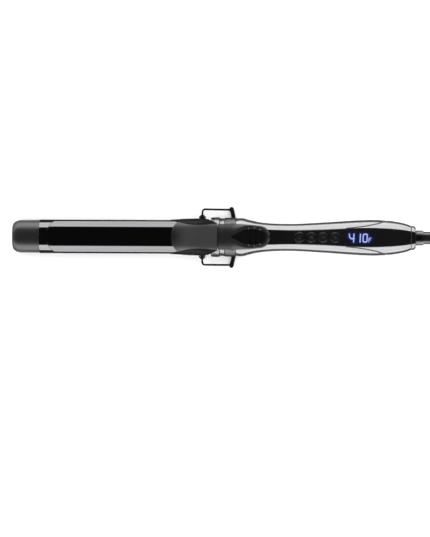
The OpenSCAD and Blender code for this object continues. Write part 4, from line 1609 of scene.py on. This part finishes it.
def add_area(name, location, size, power):
    """A soft lamp that points at the iron's middle and that mirrors don't see."""
    data = bpy.data.lights.new(name, "AREA")
    data.shape = "RECTANGLE"
    data.size, data.size_y = size
    data.energy = power
    lamp = add_object(name, data)
    lamp.location = location
    lamp.rotation_euler = (-Vector(location)).to_track_quat("-Z", "Y").to_euler()
    lamp.visible_glossy = False


CARD_Z = 0.0004


def make_card(name, outline, glow):
    """A card that only mirrors see: black ones draw the dark line along polished edges."""
    card = Shader(name + "_face", (0.002, 0.002, 0.002), 1.0, Specular_IOR_Level=0.0)
    card.vary_color(card.noise(50), 0.9, 1.1)
    card.surface(Emission_Color=WHITE, Emission_Strength=glow)
    sheet = lay_sheet(name, outline, CARD_Z, card.material)
    for ray in ("camera", "diffuse", "shadow", "transmission"):
        setattr(sheet, "visible_" + ray, False)


HORIZON = 3.0
SKY_EDGE = 0.44
SKY_SOFT = 0.03
SKY_DARK = 0.006
SKY_LEAN = 0.02
END_DARK = 0.5


def make_world():
    """Dark overhead, bright towards the horizon: what a side-lit studio shows to a mirror."""
    world = bpy.data.worlds.new("studio")
    bpy.context.scene.world = world
    world.use_nodes = True
    sky = NodeTree(world.node_tree)
    split = world.node_tree.nodes.new("ShaderNodeSeparateXYZ")
    sky.feed(split, {"Vector": sky.add("TexCoord", "Generated", {})})
    x, y, z = split.outputs

    def add_up(first, amount, second):
        return sky.add("Math", "Value", {0: first, 1: amount, 2: second}, operation="MULTIPLY_ADD")

    end_on = sky.add("Math", "Value", {0: x, 1: 2}, operation="POWER")
    height = add_up(end_on, END_DARK, add_up(y, SKY_LEAN, z))
    stops = [(0, 1), (SKY_EDGE - SKY_SOFT, 1), (SKY_EDGE + SKY_SOFT, SKY_DARK), (1, SKY_DARK)]
    light = sky.ramp(height, [(position, (value,) * 3) for position, value in stops])
    background = world.node_tree.nodes["Background"]
    sky.feed(background, {"Color": light, "Strength": HORIZON})


def make_light():
    add_area("top_soft", (-0.1, 0.1, 1.6), (2.6, 2.6), 44)
    add_area("fill_front", (0.0, -1.3, 0.7), (2.0, 0.9), 20)
    add_area("fill_back", (0.0, 1.3, 0.7), (2.0, 0.9), 20)


CARD_EDGE = [(-0.5, 0.07), (-0.22, 0.076), (-0.03, 0.09), (-0.005, 0.076), (0.3, 0.076)]
UNDER_GLOW = 0.08
CARD_FAR = 0.6


def make_cards():
    """Nearly black under the iron and bright beyond, so that polished edges turn dark."""
    under = [(x, -y) for x, y in CARD_EDGE] + [(x, y) for x, y in reversed(CARD_EDGE)]
    make_card("card_under", under, UNDER_GLOW)
    for name, side in (("card_near", -1), ("card_far", 1)):
        edge = [(x, side * y) for x, y in CARD_EDGE]
        rim = [(x, side * CARD_FAR) for x, y in reversed(CARD_EDGE)]
        make_card(name, edge + rim, HORIZON)


def paint_cad_nodes():
    """Every CAD node that still shows gets its procedural material."""
    slots = {part["node"]: part["material_slot"] for part in frame["record"]["subparts"]}
    for name, piece in frame["nodes"].items():
        piece.data.materials.clear()
        piece.data.materials.append(MATERIALS[slots[name]])


make_barrel()
make_rings()
make_collar()
make_screws()
make_stand()
make_clip()
make_spring()
make_cover()
make_lever()
make_pad()
make_handle()
make_panel()
make_button_rings()
for button_index, button_name in enumerate(BUTTONS):
    make_button(button_index, button_name)
make_display()
make_tail_end()
paint_cad_nodes()
make_stage()
make_cards()
make_world()
make_light()

bpy.context.scene.view_settings.view_transform = "Standard"
